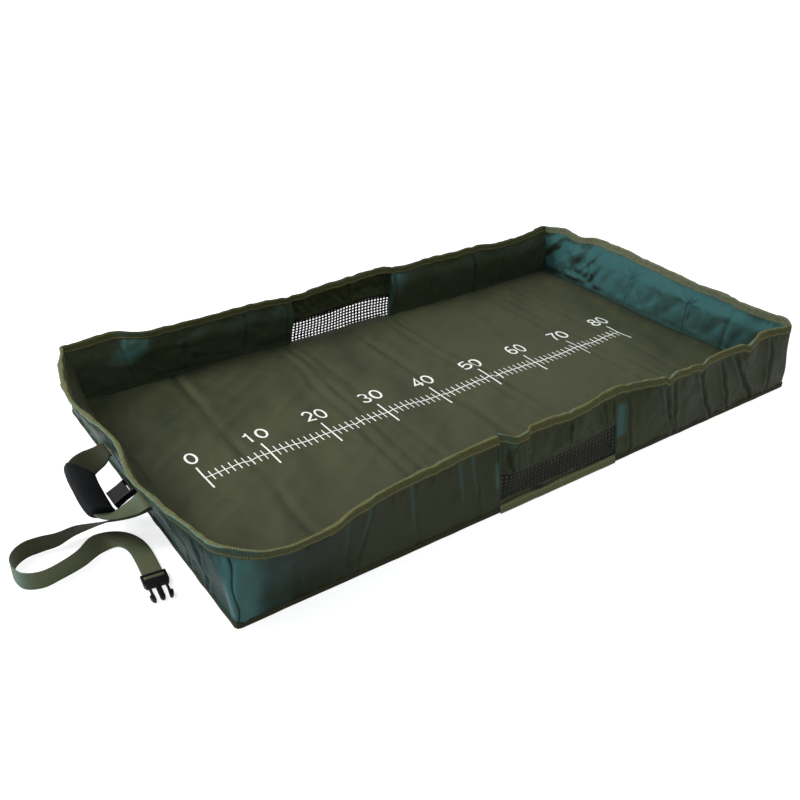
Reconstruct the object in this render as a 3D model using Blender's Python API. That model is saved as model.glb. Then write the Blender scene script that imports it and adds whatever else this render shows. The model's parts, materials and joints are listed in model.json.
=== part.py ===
"""Unhooking mat: a padded tray of coated fabric that folds in three, with two handles and a buckled strap."""
import math

import bmesh
import bpy
from mathutils import Matrix, Vector

# Overall size, along X, Y and Z
LENGTH = 1.0
WIDTH = 0.58
HEIGHT = 0.116

# Layers, from the ground up and from the outside in
BASE_THICK = 0.001
FLOOR_FOAM_THICK = 0.025
WALL_FOAM_THICK = 0.010
RIM_FOAM_THICK = 0.0035
FABRIC_THICK = 0.0008
TAPE_THICK = 0.0012
SEAT_GAP = 0.0003
MITRE_SHIFT = 0.0003
FOLD_GAP = 0.0006

# The middle panel lies between the two fold lines
MID_LENGTH = 0.216
MID_CENTRE = -0.009
HEAD_FOLD_X = MID_CENTRE - MID_LENGTH / 2
TAIL_FOLD_X = MID_CENTRE + MID_LENGTH / 2

# Heights of the layers
WALL_FOOT_Z = BASE_THICK + SEAT_GAP
FLOOR_TOP_Z = WALL_FOOT_Z + FLOOR_FOAM_THICK + SEAT_GAP + FABRIC_THICK
WALL_TOP_Z = HEIGHT - TAPE_THICK - SEAT_GAP
TAPE_DROP = 0.011
TAPE_EDGE_Z = WALL_TOP_Z - TAPE_DROP
PINCH_HEIGHT = 0.0185
PINCH_Z = TAPE_EDGE_Z - PINCH_HEIGHT
FOOT_TAPE_LOW_Z = 0.0005
FOOT_TAPE_HIGH_Z = 0.0105

# Inward distances of the wall's layers from the outside face
FOAM_OUT = FABRIC_THICK + SEAT_GAP
FOAM_IN = FOAM_OUT + WALL_FOAM_THICK
LINING_OUT = FOAM_IN + SEAT_GAP
LINING_IN = LINING_OUT + FABRIC_THICK
FLOOR_INSET = LINING_IN + SEAT_GAP
TAPE_OUT = -(SEAT_GAP + TAPE_THICK)
RIM_PINCH = WALL_FOAM_THICK - RIM_FOAM_THICK
RIM_IN = LINING_IN - RIM_PINCH
TAPE_IN = RIM_IN + SEAT_GAP + TAPE_THICK

# Mesh windows and the limp strip above them, in the side walls of the middle panel
MESH_LOW_Z = 0.0115
MESH_HIGH_Z = 0.060
MESH_THICK = 0.0012
MESH_ROWS = 5
MESH_COLUMNS = 20
STRAND_WIDTH = 0.0022
STRIP_LOW_Z = MESH_HIGH_Z + SEAT_GAP
STRIP_THICK = 0.002
STRIP_BEND_THICK = 0.004
MID_INSET = MESH_THICK + SEAT_GAP

# How far each wall's rim leans out, as a share of the height, at places that are shares of the wall's length
FRONT_LEAN_SHARES = (
    (-0.5, 0.05), (-0.475, 0.22), (-0.44, 0.31), (-0.39, 0.28), (-0.35, 0.15), (-0.3, 0.06), (-0.2, -0.03),
    (-0.12, -0.09), (-0.08, 0.04), (0.02, -0.03), (0.1, -0.12), (0.19, 0.05), (0.26, 0.04), (0.32, -0.02),
    (0.38, 0.03), (0.425, -0.09), (0.5, 0.0),
)
BACK_LEAN_SHARES = (
    (-0.5, 0.0), (-0.468, 0.04), (-0.416, 0.08), (-0.393, -0.06), (-0.359, -0.2), (-0.331, -0.14),
    (-0.265, -0.19), (-0.21, -0.155), (-0.138, -0.215), (-0.1, -0.23), (-0.077, -0.17), (-0.011, -0.09),
    (0.02, -0.02), (0.079, -0.03), (0.126, -0.15), (0.186, -0.11), (0.244, -0.13), (0.285, -0.08),
    (0.349, -0.2), (0.385, -0.18), (0.438, -0.1), (0.48, 0.02), (0.5, 0.0),
)
HEAD_LEAN_SHARES = (
    (-0.5, 0.08), (-0.4379, 0.14), (-0.3448, 0.23), (-0.2672, 0.285), (-0.1931, 0.336), (-0.1259, 0.3),
    (-0.0224, 0.224), (0.0448, 0.25), (0.1448, 0.32), (0.2, 0.345), (0.2534, 0.32), (0.4017, 0.164),
    (0.5, 0.01),
)
TAIL_LEAN_SHARES = (
    (-0.5, 0.02), (-0.4569, 0.03), (-0.3483, -0.03), (-0.2328, 0.03), (-0.119, 0.04), (0.0569, 0.14),
    (0.1759, 0.2), (0.2931, 0.22), (0.3379, 0.03), (0.4431, 0.12), (0.5, 0.05),
)

# Floor pad: lines across each panel, each with its place at the front and at the back as shares of the
# panel's length, and how deep it dips as a share of the foam's thickness
HEAD_FLOOR_LINE_SHARES = (
    (0.0783, 0.0783, 0.024), (0.3264, 0.3342, 0.0), (0.376, 0.4178, 0.104), (0.4282, 0.4752, 0.008),
    (0.6214, 0.6658, 0.0), (0.7598, 0.8747, 0.0), (0.8068, 0.9243, 0.104), (0.8564, 0.9661, 0.012),
)
MID_FLOOR_LINE_SHARES = (
    (0.1713, 0.1481, 0.0), (0.4583, 0.4398, 0.008), (0.5463, 0.5278, 0.104), (0.6343, 0.6157, 0.008),
    (0.875, 0.8565, 0.0),
)
TAIL_FLOOR_LINE_SHARES = (
    (0.0648, 0.0574, 0.0), (0.2519, 0.2643, 0.032), (0.4414, 0.4314, 0.0), (0.4888, 0.4763, 0.096),
    (0.5362, 0.5237, 0.008), (0.6658, 0.6509, 0.072), (0.7207, 0.7032, 0.0), (0.9252, 0.9252, 0.024),
)
FLOOR_END_DEPTH = 0.0036
FLOOR_FOLD_DEPTH = 0.0012
FLOOR_SIDE_DEPTH = 0.0030
FLOOR_SIDE_LENGTH = 0.024
FLOOR_INNER_DEPTH = 0.0005
FLOOR_MIDDLE_Y = 0.095

# Sewn ends of the webbing on the two end walls
PATCH_LOW_Z = 0.036
PATCH_HIGH_Z = 0.064
PATCH_THICK = 0.0015
PATCH_WIDTH = 0.042
TAB_PATCH_WIDTH = 0.028
HEAD_LEG_BACK_Y = 0.066
HEAD_LEG_FRONT_Y = -0.074
TAIL_LEG_BACK_Y = 0.052
TAIL_LEG_FRONT_Y = -0.088
SWING_Z = 0.056
SWING_STANDOFF = 0.0013
LEG_OVERRUN = 0.0008
LEG_STRAIGHT = 0.0045

# Handles: webbing loops, one with a grip sleeve
HANDLE_WEB_WIDTH = 0.038
HANDLE_WEB_THICK = 0.002
HANDLE_STEPS = 4
SLEEVE_WIDTH = 0.045
SLEEVE_THICK = 0.009
SLEEVE_FIRST_STEP = 15
SLEEVE_LAST_STEP = 34
SLEEVE_END_SHARES = (0.80, 0.93, 1.0)
SLEEVE_POINTS = 16
SLEEVE_SQUARENESS = 0.5

# Middle line of a handle between its two ends: out from the mat's end as a share of the reach, along from the
# front leg to the back one, height as a share of the swing's, then the direction of the webbing's width
HANDLE_REACH = 0.0670
HANDLE_ROUTE_SHARES = (
    ((0.4925, 0.9679, 0.9286), (0.15, -0.93, -0.32)),
    ((0.7463, 0.9071, 0.9107), (0.45, -0.72, -0.54)),
    ((0.9104, 0.8, 0.9464), (0.72, -0.35, -0.60)),
    ((0.9776, 0.6286, 0.9732), (0.80, 0.00, -0.60)),
    ((1.0, 0.4429, 0.9464), (0.80, 0.20, -0.56)),
    ((1.0, 0.2857, 0.8661), (0.80, 0.30, -0.52)),
    ((0.9776, 0.1643, 0.8036), (0.72, 0.45, -0.50)),
    ((0.8955, 0.0857, 0.7857), (0.52, 0.74, -0.38)),
    ((0.7164, 0.0393, 0.8125), (0.33, 0.88, -0.25)),
    ((0.4627, 0.0143, 0.8929), (0.12, 0.98, -0.08)),
)

# Closing strap: places of its middle line, out from the mat's end and along it from the root as shares of the
# reach, and up as a share of the strap's width, and how far it is turned from flat to on edge there
STRAP_WIDTH = 0.025
STRAP_THICK = 0.0016
STRAP_STEPS = 3
STRAP_ROOT_Y = -0.0700
STRAP_ROOT_Z = 0.0440
STRAP_REACH = 0.1814
STRAP_ROUTE_SHARES = (
    (0.1654, 0.0221, 1.5), (0.2789, 0.0772, 1.2), (0.4146, 0.1654, 0.86), (0.5303, 0.2106, 0.66),
    (0.6571, 0.2001, 0.56), (0.7652, 0.2189, 0.52), (0.8727, 0.215, 0.52), (0.9609, 0.1555, 0.52),
    (1.0, 0.0535, 0.52), (0.9746, -0.0893, 0.52), (0.8655, -0.1527, 0.52), (0.7304, -0.1323, 0.52),
    (0.5888, -0.0821, 0.512), (0.4686, 0.0028, 0.456), (0.3699, 0.0424, 0.296), (0.2872, 0.027, 0.184),
    (0.2343, -0.0469, 0.136), (0.215, -0.1444, 0.116), (0.2189, -0.2619, 0.12), (0.2271, -0.3528, 0.128),
)
STRAP_TURN_SHARES = (
    0.0, 0.08, 0.28, 0.50, 0.70, 0.86, 0.96, 1.0, 1.0, 1.0, 1.0, 1.0, 1.0, 0.88, 0.62, 0.32, 0.12, 0.03, 0.0,
    0.0, 0.0, 0.0,
)

# Side-release buckle: plug, with its own U along its width and V from rear bar to tips
PLUG_REAR_OUT_LENGTH = 0.0428
PLUG_REAR_Y = -0.1500
PLUG_REAR_Z = 0.0033
PLUG_HEADING = (-0.120, -0.993)
PLUG_WIDTH = 0.031
PLUG_THICK = 0.0056
PLUG_LENGTH = 0.050
PLUG_FRAME_LENGTH = 0.0235
PLUG_BAR_LENGTH = 0.0036
PLUG_SLOT_LENGTH = 0.0073
PLUG_SLOT_WIDTH = 0.026
PLUG_SHOULDER_WIDTH = 0.027
PLUG_SHOULDER_LENGTH = 0.005
TONGUE_WIDTH = 0.0066
TONGUE_TIP_WIDTH = 0.0040
TONGUE_TIP_LENGTH = 0.004
TONGUE_THICK = 0.0040
ARM_THICK = 0.0048
PLUG_EDGE = 0.0006
ARM_PIVOT_U = 0.0100
# Outline of one latch arm: outward from the middle line as a share of the plug's width, and forward from the
# frame as a share of the length left
ARM_OUTLINE_SHARES = (
    (0.27097, 0.0), (0.27097, 0.37736), (0.25484, 0.67925), (0.24516, 0.89811), (0.27742, 0.98868),
    (0.33548, 0.98868), (0.4, 0.90566), (0.44194, 0.75472), (0.45161, 0.60377), (0.42581, 0.56604),
    (0.37419, 0.56604), (0.36774, 0.30189), (0.38065, 0.0),
)

# Side-release buckle: socket and the webbing tab that holds it
SOCKET_Y = -0.030
SOCKET_TILT = math.radians(27)
SOCKET_WIDTH = 0.031
SOCKET_LENGTH = 0.0315
SOCKET_THICK = 0.0100
SOCKET_WAIST = 0.0012
SOCKET_EDGE = 0.0012
MOUTH_WIDTH = 0.0262
MOUTH_THICK = 0.0062
MOUTH_DEPTH = 0.0215
WINDOW_START = 0.0080
WINDOW_LENGTH = 0.0100
SOCKET_SLOT_LENGTH = 0.0034
SOCKET_SLOT_WIDTH = 0.0255
SOCKET_BAR_LENGTH = 0.0032
TAB_LENGTH = 0.0040
TAB_WIDTH = 0.0245
TAB_THICK = 0.0020

# Colours, and roughness where it differs from fabric's
OLIVE = (0.062, 0.067, 0.040)
DARK_GREEN = (0.020, 0.023, 0.017)
TAPE_OLIVE = (0.135, 0.140, 0.085)
WEB_OLIVE = (0.110, 0.120, 0.085)
NEAR_BLACK = (0.012, 0.013, 0.014)
FOAM_GREY = (0.300, 0.300, 0.290)
FABRIC_ROUGH = 0.75
PLASTIC_ROUGH = 0.35
RUBBER_ROUGH = 0.60


def clear_scene():
    for obj in list(bpy.data.objects):
        bpy.data.objects.remove(obj, do_unlink=True)


def material(name, colour, rough):
    mat = bpy.data.materials.new(name)
    mat.use_nodes = True
    shader = mat.node_tree.nodes["Principled BSDF"]
    shader.inputs["Base Color"].default_value = (*colour, 1)
    shader.inputs["Roughness"].default_value = rough
    return mat


def finish_object(name, verts, faces, colour, rough, origin=(0, 0, 0), smooth=False):
    """A closed mesh with its faces turned outwards, and its origin moved to a place in the world."""
    shift = Vector(origin)
    mesh = bpy.data.meshes.new(name)
    mesh.from_pydata([Vector(v) - shift for v in verts], [], faces)
    bm = bmesh.new()
    bm.from_mesh(mesh)
    bmesh.ops.recalc_face_normals(bm, faces=bm.faces)
    bm.to_mesh(mesh)
    bm.free()
    obj = bpy.data.objects.new(name, mesh)
    bpy.context.collection.objects.link(obj)
    obj.location = shift
    if smooth:
        mesh.shade_smooth()
        mesh.set_sharp_from_angle(angle=math.radians(40))
    mesh.materials.append(material(name + "_finish", colour, rough))
    return obj


# Walls: a station is a foot point, the inward direction there and how far the rim leans there


def between(table, place):
    """Value of a table of (place, value) rows at a place, straight between its rows."""
    for (p0, v0), (p1, v1) in zip(table, table[1:]):
        if p0 <= place <= p1:
            return v0 + (v1 - v0) * (place - p0) / (p1 - p0)
    raise ValueError("the place is outside the table")


def side_station(x, side):
    table = FRONT_LEAN_SHARES if side < 0 else BACK_LEAN_SHARES
    lean = between(table, x / LENGTH) * HEIGHT
    return (Vector((x, side * WIDTH / 2)), Vector((0, -side)), Vector((0, side * lean)))


def end_station(y, end):
    table = HEAD_LEAN_SHARES if end < 0 else TAIL_LEAN_SHARES
    lean = between(table, y / WIDTH) * HEIGHT
    return (Vector((end * LENGTH / 2, y)), Vector((-end, 0)), Vector((end * lean, 0)))


def corner_station(end, side):
    end_lean = between(HEAD_LEAN_SHARES if end < 0 else TAIL_LEAN_SHARES, side / 2) * HEIGHT
    side_lean = between(FRONT_LEAN_SHARES if side < 0 else BACK_LEAN_SHARES, end / 2) * HEIGHT
    foot = Vector((end * LENGTH / 2, side * WIDTH / 2))
    return (foot, Vector((-end, -side)), Vector((end * end_lean, side * side_lean)))


def drawn_back(corner, neighbour):
    """The corner station moved a little along the wall, so that two mitred walls don't touch."""
    run = neighbour[0] - corner[0]
    share = MITRE_SHIFT / run.length
    return (corner[0] + run * share, corner[1], corner[2].lerp(neighbour[2], share))


def on_wall(station, depth, z):
    foot, inward, lean = station
    rise = max(0.0, (z - FLOOR_TOP_Z) / (HEIGHT - FLOOR_TOP_Z))
    flat = foot + inward * depth + lean * rise
    return Vector((flat.x, flat.y, z))


def sweep(name, stations, outer, inner, colour, rough):
    """A sheet swept along a wall. Outer and inner are its two sides, as (inward distance, height) rows."""
    verts = []
    for station in stations:
        verts += [on_wall(station, depth, z) for depth, z in outer]
        verts += [on_wall(station, depth, z) for depth, z in inner]
    count = len(outer)
    ring = 2 * count
    faces = []
    for k in range(len(stations) - 1):
        here = k * ring
        there = here + ring
        for side, rows in ((0, outer), (count, inner)):
            for j in range(count - 1):
                a, b = here + side + j, here + side + j + 1
                c, d = there + side + j + 1, there + side + j
                if rows[j + 1][1] >= rows[j][1]:
                    faces += [(a, d, c), (a, c, b)]
                else:
                    faces += [(a, d, b), (b, d, c)]
        for j in (0, count - 1):
            a, b = here + j, here + count + j
            c, d = there + count + j, there + j
            faces += [(a, b, c), (a, c, d)]
    for here in (0, (len(stations) - 1) * ring):
        for j in range(count - 1):
            a, b = here + j, here + j + 1
            c, d = here + count + j + 1, here + count + j
            faces += [(a, b, c), (a, c, d)]
    return finish_object(name, verts, faces, colour, rough)


def table_places(table, total, low, high):
    """The table's places along a wall of this length, between two of its points."""
    return [share * total for share, value in table if low < share * total < high]


def head_side_places(side):
    table = FRONT_LEAN_SHARES if side < 0 else BACK_LEAN_SHARES
    return table_places(table, LENGTH, -LENGTH / 2, HEAD_FOLD_X - FOLD_GAP) + [HEAD_FOLD_X - FOLD_GAP / 2]


def tail_side_places(side):
    table = FRONT_LEAN_SHARES if side < 0 else BACK_LEAN_SHARES
    return [TAIL_FOLD_X + FOLD_GAP / 2] + table_places(table, LENGTH, TAIL_FOLD_X + FOLD_GAP, LENGTH / 2)


def mid_side_places(side):
    table = FRONT_LEAN_SHARES if side < 0 else BACK_LEAN_SHARES
    low, high = HEAD_FOLD_X + FOLD_GAP / 2, TAIL_FOLD_X - FOLD_GAP / 2
    return [low] + table_places(table, LENGTH, low, high) + [high]


def patch_edges(middle, width):
    return [middle - width / 2, middle + width / 2]


def end_places(end):
    if end < 0:
        marks = patch_edges(HEAD_LEG_BACK_Y, PATCH_WIDTH) + patch_edges(HEAD_LEG_FRONT_Y, PATCH_WIDTH)
        marks += patch_edges(SOCKET_Y, TAB_PATCH_WIDTH)
        table = HEAD_LEAN_SHARES
    else:
        marks = patch_edges(TAIL_LEG_BACK_Y, PATCH_WIDTH) + patch_edges(TAIL_LEG_FRONT_Y, PATCH_WIDTH)
        table = TAIL_LEAN_SHARES
    return sorted(table_places(table, WIDTH, -WIDTH / 2, WIDTH / 2) + marks)


def wall_runs(end):
    """The three runs of one tray, each from station to station, in the same turning direction."""
    near, far = corner_station(end, end), corner_station(end, -end)
    places = head_side_places if end < 0 else tail_side_places
    first = sorted((side_station(x, end) for x in places(end)), key=lambda s: end * s[0].x)
    middle = sorted((end_station(y, end) for y in end_places(end)), key=lambda s: -end * s[0].y)
    last = sorted((side_station(x, -end) for x in places(-end)), key=lambda s: -end * s[0].x)
    return first, near, middle, far, last


def skin_rows(depth, heights):
    return [(depth, z) for z in heights]


def pinched_rows(depth, heights):
    """Rows of a skin on the inside of the foam, which the rim tape squeezes thin."""
    return [(depth - (RIM_PINCH if z >= TAPE_EDGE_Z else 0.0), z) for z in heights]


def build_walls(tray, end):
    first, near, middle, far, last = wall_runs(end)
    runs = {
        "first": first + [drawn_back(near, first[-1])],
        "end": [drawn_back(near, middle[0])] + middle + [drawn_back(far, middle[-1])],
        "last": [drawn_back(far, last[0])] + last,
    }
    names = {"first": "front" if end < 0 else "back", "end": "end", "last": "back" if end < 0 else "front"}
    for run, stations in runs.items():
        heights = [WALL_FOOT_Z, FLOOR_TOP_Z, PINCH_Z, TAPE_EDGE_Z, WALL_TOP_Z]
        if run == "end":
            heights[2:2] = [PATCH_LOW_Z, PATCH_HIGH_Z]
        layers = (
            ("outer", skin_rows(0.0, heights), skin_rows(FABRIC_THICK, heights), DARK_GREEN),
            ("foam", skin_rows(FOAM_OUT, heights), pinched_rows(FOAM_IN, heights), FOAM_GREY),
            ("lining", pinched_rows(LINING_OUT, heights), pinched_rows(LINING_IN, heights), DARK_GREEN),
        )
        for layer, outer, inner, colour in layers:
            sweep(f"{tray}_{names[run]}_wall_{layer}", stations, outer, inner, colour, FABRIC_ROUGH)
    whole = first + [near] + middle + [far] + last
    build_rim_tape(f"{tray}_rim_tape", whole)
    corners = [first[0], near, far, last[-1]]
    build_foot_tape(f"{tray}_foot_tape", corners)


def build_rim_tape(name, stations):
    top = WALL_TOP_Z + SEAT_GAP
    outer = [
        (TAPE_OUT, TAPE_EDGE_Z), (TAPE_OUT, WALL_TOP_Z), (TAPE_OUT, HEIGHT),
        (TAPE_IN, HEIGHT), (TAPE_IN, WALL_TOP_Z), (TAPE_IN, TAPE_EDGE_Z),
    ]
    lip, hem = -SEAT_GAP, RIM_IN + SEAT_GAP
    inner = [
        (lip, TAPE_EDGE_Z), (lip, WALL_TOP_Z), (lip, top),
        (hem, top), (hem, WALL_TOP_Z), (hem, TAPE_EDGE_Z),
    ]
    sweep(name, stations, outer, inner, TAPE_OLIVE, FABRIC_ROUGH)


def build_foot_tape(name, stations):
    heights = [FOOT_TAPE_LOW_Z, FOOT_TAPE_HIGH_Z]
    outer, inner = skin_rows(TAPE_OUT, heights), skin_rows(-SEAT_GAP, heights)
    sweep(name, stations, outer, inner, TAPE_OLIVE, FABRIC_ROUGH)


# Middle panel's sides


def build_mid_side(place, side):
    xs = mid_side_places(side)
    stations = [side_station(x, side) for x in xs]
    if side < 0:
        stations.reverse()
    outer = skin_rows(0.0, [STRIP_LOW_Z, PINCH_Z, TAPE_EDGE_Z, WALL_TOP_Z])
    inner = [
        (STRIP_THICK, STRIP_LOW_Z), (STRIP_BEND_THICK, PINCH_Z), (RIM_IN, TAPE_EDGE_Z), (RIM_IN, WALL_TOP_Z),
    ]
    sweep(f"{place}_gusset_strip", stations, outer, inner, DARK_GREEN, FABRIC_ROUGH)
    build_rim_tape(f"{place}_mid_rim_tape", stations)
    build_foot_tape(f"{place}_mid_foot_tape", [stations[0], stations[-1]])
    build_mesh(f"{place}_mesh_window", xs[0], xs[-1], side)


def bar_lines(total, count, bar):
    """Edges of evenly spaced bars across a length, with one more bar than gaps."""
    gap = (total - (count + 1) * bar) / count
    lines = [0.0]
    for k in range(count):
        lines += [bar + k * (bar + gap), (k + 1) * (bar + gap)]
    return lines + [total]


def build_mesh(name, low_x, high_x, side):
    us = bar_lines(high_x - low_x, MESH_COLUMNS, STRAND_WIDTH)
    vs = bar_lines(MESH_HIGH_Z - MESH_LOW_Z, MESH_ROWS, STRAND_WIDTH)
    verts = []
    for u in us:
        station = side_station(low_x + u, side)
        for v in vs:
            verts.append(on_wall(station, 0.0, MESH_LOW_Z + v))
            verts.append(on_wall(station, MESH_THICK, MESH_LOW_Z + v))

    def at(i, j, layer):
        return 2 * (i * len(vs) + j) + layer

    def solid(i, j):
        inside = 0 <= i < len(us) - 1 and 0 <= j < len(vs) - 1
        return inside and not (i % 2 and j % 2)

    faces = []
    for i in range(len(us) - 1):
        for j in range(len(vs) - 1):
            if not solid(i, j):
                continue
            for layer in (0, 1):
                corners = ((i, j), (i + 1, j), (i + 1, j + 1), (i, j + 1))
                faces.append(tuple(at(*corner, layer) for corner in corners))
            for di, dj, a, b in (
                (-1, 0, (i, j), (i, j + 1)), (1, 0, (i + 1, j), (i + 1, j + 1)),
                (0, -1, (i, j), (i + 1, j)), (0, 1, (i, j + 1), (i + 1, j + 1)),
            ):
                if not solid(i + di, j + dj):
                    faces.append((at(*a, 0), at(*b, 0), at(*b, 1), at(*a, 1)))
    finish_object(name, verts, faces, NEAR_BLACK, FABRIC_ROUGH)


# Floor


def build_base(tray, low_x, high_x):
    half = WIDTH / 2
    verts = [(x, y, z) for z in (0, BASE_THICK) for x, y in (
        (low_x, -half), (high_x, -half), (high_x, half), (low_x, half),
    )]
    faces = [(0, 3, 2, 1), (4, 5, 6, 7)] + [(k, (k + 1) % 4, 4 + (k + 1) % 4, 4 + k) for k in range(4)]
    finish_object(f"{tray}_base_cover", verts, faces, DARK_GREEN, FABRIC_ROUGH)


def slab(name, lines, rows, low, high, colour):
    """A pad whose top, and whose bottom where it isn't flat, follow the lines across the floor."""
    verts = []
    for x_front, x_back, dip in lines:
        for y, row_dip in rows:
            share = (y + WIDTH / 2) / WIDTH
            x = x_front + (x_back - x_front) * share
            drop = max(dip, row_dip)
            verts.append((x, y, low(drop)))
            verts.append((x, y, high(drop)))
    m, n = len(lines), len(rows)

    def at(i, j, layer):
        return 2 * (i * n + j) + layer

    faces = []
    for i in range(m - 1):
        for j in range(n - 1):
            for layer in (0, 1):
                a, b = at(i, j, layer), at(i + 1, j, layer)
                c, d = at(i + 1, j + 1, layer), at(i, j + 1, layer)
                faces += [(a, b, c), (a, c, d)]
    for i in range(m - 1):
        for j in (0, n - 1):
            faces.append((at(i, j, 0), at(i + 1, j, 0), at(i + 1, j, 1), at(i, j, 1)))
    for j in range(n - 1):
        for i in (0, m - 1):
            faces.append((at(i, j, 0), at(i, j + 1, 0), at(i, j + 1, 1), at(i, j, 1)))
    finish_object(name, verts, faces, colour, FABRIC_ROUGH)


def build_floor(tray, low_x, high_x, low_dip, high_dip, inset_y, panel, lines):
    build_base(tray, low_x[0], high_x[0])
    half = WIDTH / 2 - inset_y
    rows = []
    for y, dip in (
        (half, FLOOR_SIDE_DEPTH), (half - FLOOR_SIDE_LENGTH, FLOOR_INNER_DEPTH), (FLOOR_MIDDLE_Y, 0.0),
    ):
        rows += [(-y, dip), (y, dip)]
    rows.sort()
    start, run = panel
    crossing = [
        (start + run * front, start + run * back, FLOOR_FOAM_THICK * dip) for front, back, dip in lines
    ]
    whole = ((low_x[1], low_x[1], low_dip), *crossing, (high_x[1], high_x[1], high_dip))
    foam_top = WALL_FOOT_Z + FLOOR_FOAM_THICK
    cover_low = foam_top + SEAT_GAP
    foam_sides = (lambda drop: WALL_FOOT_Z, lambda drop: foam_top - drop)
    cover_sides = (lambda drop: cover_low - drop, lambda drop: FLOOR_TOP_Z - drop)
    slab(f"{tray}_floor_foam", whole, rows, *foam_sides, FOAM_GREY)
    slab(f"{tray}_floor_cover", whole, rows, *cover_sides, OLIVE)


# Webbing


def on_curve(a, b, c, d, t):
    """Value on the smooth curve from b to c, a share t of the way."""
    bend = (2 * a - 5 * b + 4 * c - d) * t ** 2 + (3 * b - a - 3 * c + d) * t ** 3
    return (2 * b + (c - a) * t + bend) / 2


def smooth_rows(rows, steps):
    """Rows of numbers with a smooth curve through them, steps to each span."""
    rows = [list(row) for row in rows]
    before = [2 * a - b for a, b in zip(rows[0], rows[1])]
    after = [2 * a - b for a, b in zip(rows[-1], rows[-2])]
    all_rows = [before] + rows + [after]
    out = []
    for k in range(len(rows) - 1):
        p0, p1, p2, p3 = all_rows[k:k + 4]
        for step in range(steps):
            out.append([on_curve(*ends, step / steps) for ends in zip(p0, p1, p2, p3)])
    out.append(rows[-1])
    return out


def ribbon_frames(rows, start_run=None, end_run=None):
    """From rows of place and width direction: the place, the width and the thickness direction."""
    places = [Vector(row[:3]) for row in rows]
    frames = []
    for k, row in enumerate(rows):
        run = (places[min(k + 1, len(rows) - 1)] - places[max(k - 1, 0)]).normalized()
        if k == 0 and start_run:
            run = Vector(start_run)
        if k == len(rows) - 1 and end_run:
            run = Vector(end_run)
        across = Vector(row[3:6])
        across = (across - run * across.dot(run)).normalized()
        frames.append((places[k], across, run.cross(across)))
    return frames


def build_ribbon(name, frames, width, thick, colour, origin=(0, 0, 0)):
    verts = []
    for place, across, through in frames:
        for a, b in ((-1, -1), (1, -1), (1, 1), (-1, 1)):
            verts.append(place + across * (a * width / 2) + through * (b * thick / 2))
    faces = [(0, 1, 2, 3)]
    for k in range(len(frames) - 1):
        for j in range(4):
            a, b = 4 * k + j, 4 * k + (j + 1) % 4
            faces += [(a, b, b + 4), (a, b + 4, a + 4)]
    last = 4 * (len(frames) - 1)
    faces.append((last, last + 1, last + 2, last + 3))
    return finish_object(name, verts, faces, colour, FABRIC_ROUGH, origin)


def build_sleeve(name, frames, origin):
    """A rounded tube around the webbing, with a slot through it for the webbing."""
    slot_wide = HANDLE_WEB_WIDTH / 2 + SEAT_GAP
    slot_thick = HANDLE_WEB_THICK / 2 + SEAT_GAP
    verts = []
    for k, (place, across, through) in enumerate(frames):
        from_end = min(k, len(frames) - 1 - k)
        share = SLEEVE_END_SHARES[min(from_end, len(SLEEVE_END_SHARES) - 1)]
        for j in range(SLEEVE_POINTS):
            turn = 2 * math.pi * j / SLEEVE_POINTS
            c, s = math.cos(turn), math.sin(turn)
            u = math.copysign(abs(c) ** SLEEVE_SQUARENESS, c) * SLEEVE_WIDTH / 2
            v = math.copysign(abs(s) ** SLEEVE_SQUARENESS, s) * SLEEVE_THICK / 2 * share
            verts.append(place + across * u + through * v)
        for j in range(SLEEVE_POINTS):
            turn = 2 * math.pi * j / SLEEVE_POINTS
            u = max(-1.0, min(1.0, 1.5 * math.cos(turn))) * slot_wide
            v = max(-1.0, min(1.0, 1.5 * math.sin(turn))) * slot_thick
            verts.append(place + across * u + through * v)
    ring = 2 * SLEEVE_POINTS
    faces = []
    for k in range(len(frames) - 1):
        for side in (0, SLEEVE_POINTS):
            for j in range(SLEEVE_POINTS):
                a = k * ring + side + j
                b = k * ring + side + (j + 1) % SLEEVE_POINTS
                faces += [(a, b, b + ring), (a, b + ring, a + ring)]
    for start in (0, (len(frames) - 1) * ring):
        for j in range(SLEEVE_POINTS):
            a, b = start + j, start + (j + 1) % SLEEVE_POINTS
            faces.append((a, b, b + SLEEVE_POINTS, a + SLEEVE_POINTS))
    return finish_object(name, verts, faces, NEAR_BLACK, RUBBER_ROUGH, origin, smooth=True)


def wall_face(end, y, z):
    """X of the outside of an end wall's sewn patch."""
    places = [p for p in end_places(end)]
    low = max(p for p in places if p <= y)
    high = min(p for p in places if p >= y)
    share = 0 if high == low else (y - low) / (high - low)
    a = on_wall(end_station(low, end), 0.0, z).x
    b = on_wall(end_station(high, end), 0.0, z).x
    return a + (b - a) * share + end * (SEAT_GAP + PATCH_THICK)


def clear_face(end, middles, width, z, standoff):
    """X that clears the sewn patches at these middles, across the whole width of what starts there."""
    edges = [y for middle in middles for y in patch_edges(middle, width)]
    return end * (max(abs(wall_face(end, y, z)) for y in edges) + standoff)


def build_patch(name, middle, width, end):
    low, high = patch_edges(middle, width)
    places = [y for y in end_places(end) if low <= y <= high]
    stations = [end_station(y, end) for y in places]
    if end > 0:
        stations.reverse()
    heights = [PATCH_LOW_Z, PATCH_HIGH_Z]
    depth = -SEAT_GAP - PATCH_THICK
    sweep(name, stations, skin_rows(depth, heights), skin_rows(-SEAT_GAP, heights), WEB_OLIVE, FABRIC_ROUGH)


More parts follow.
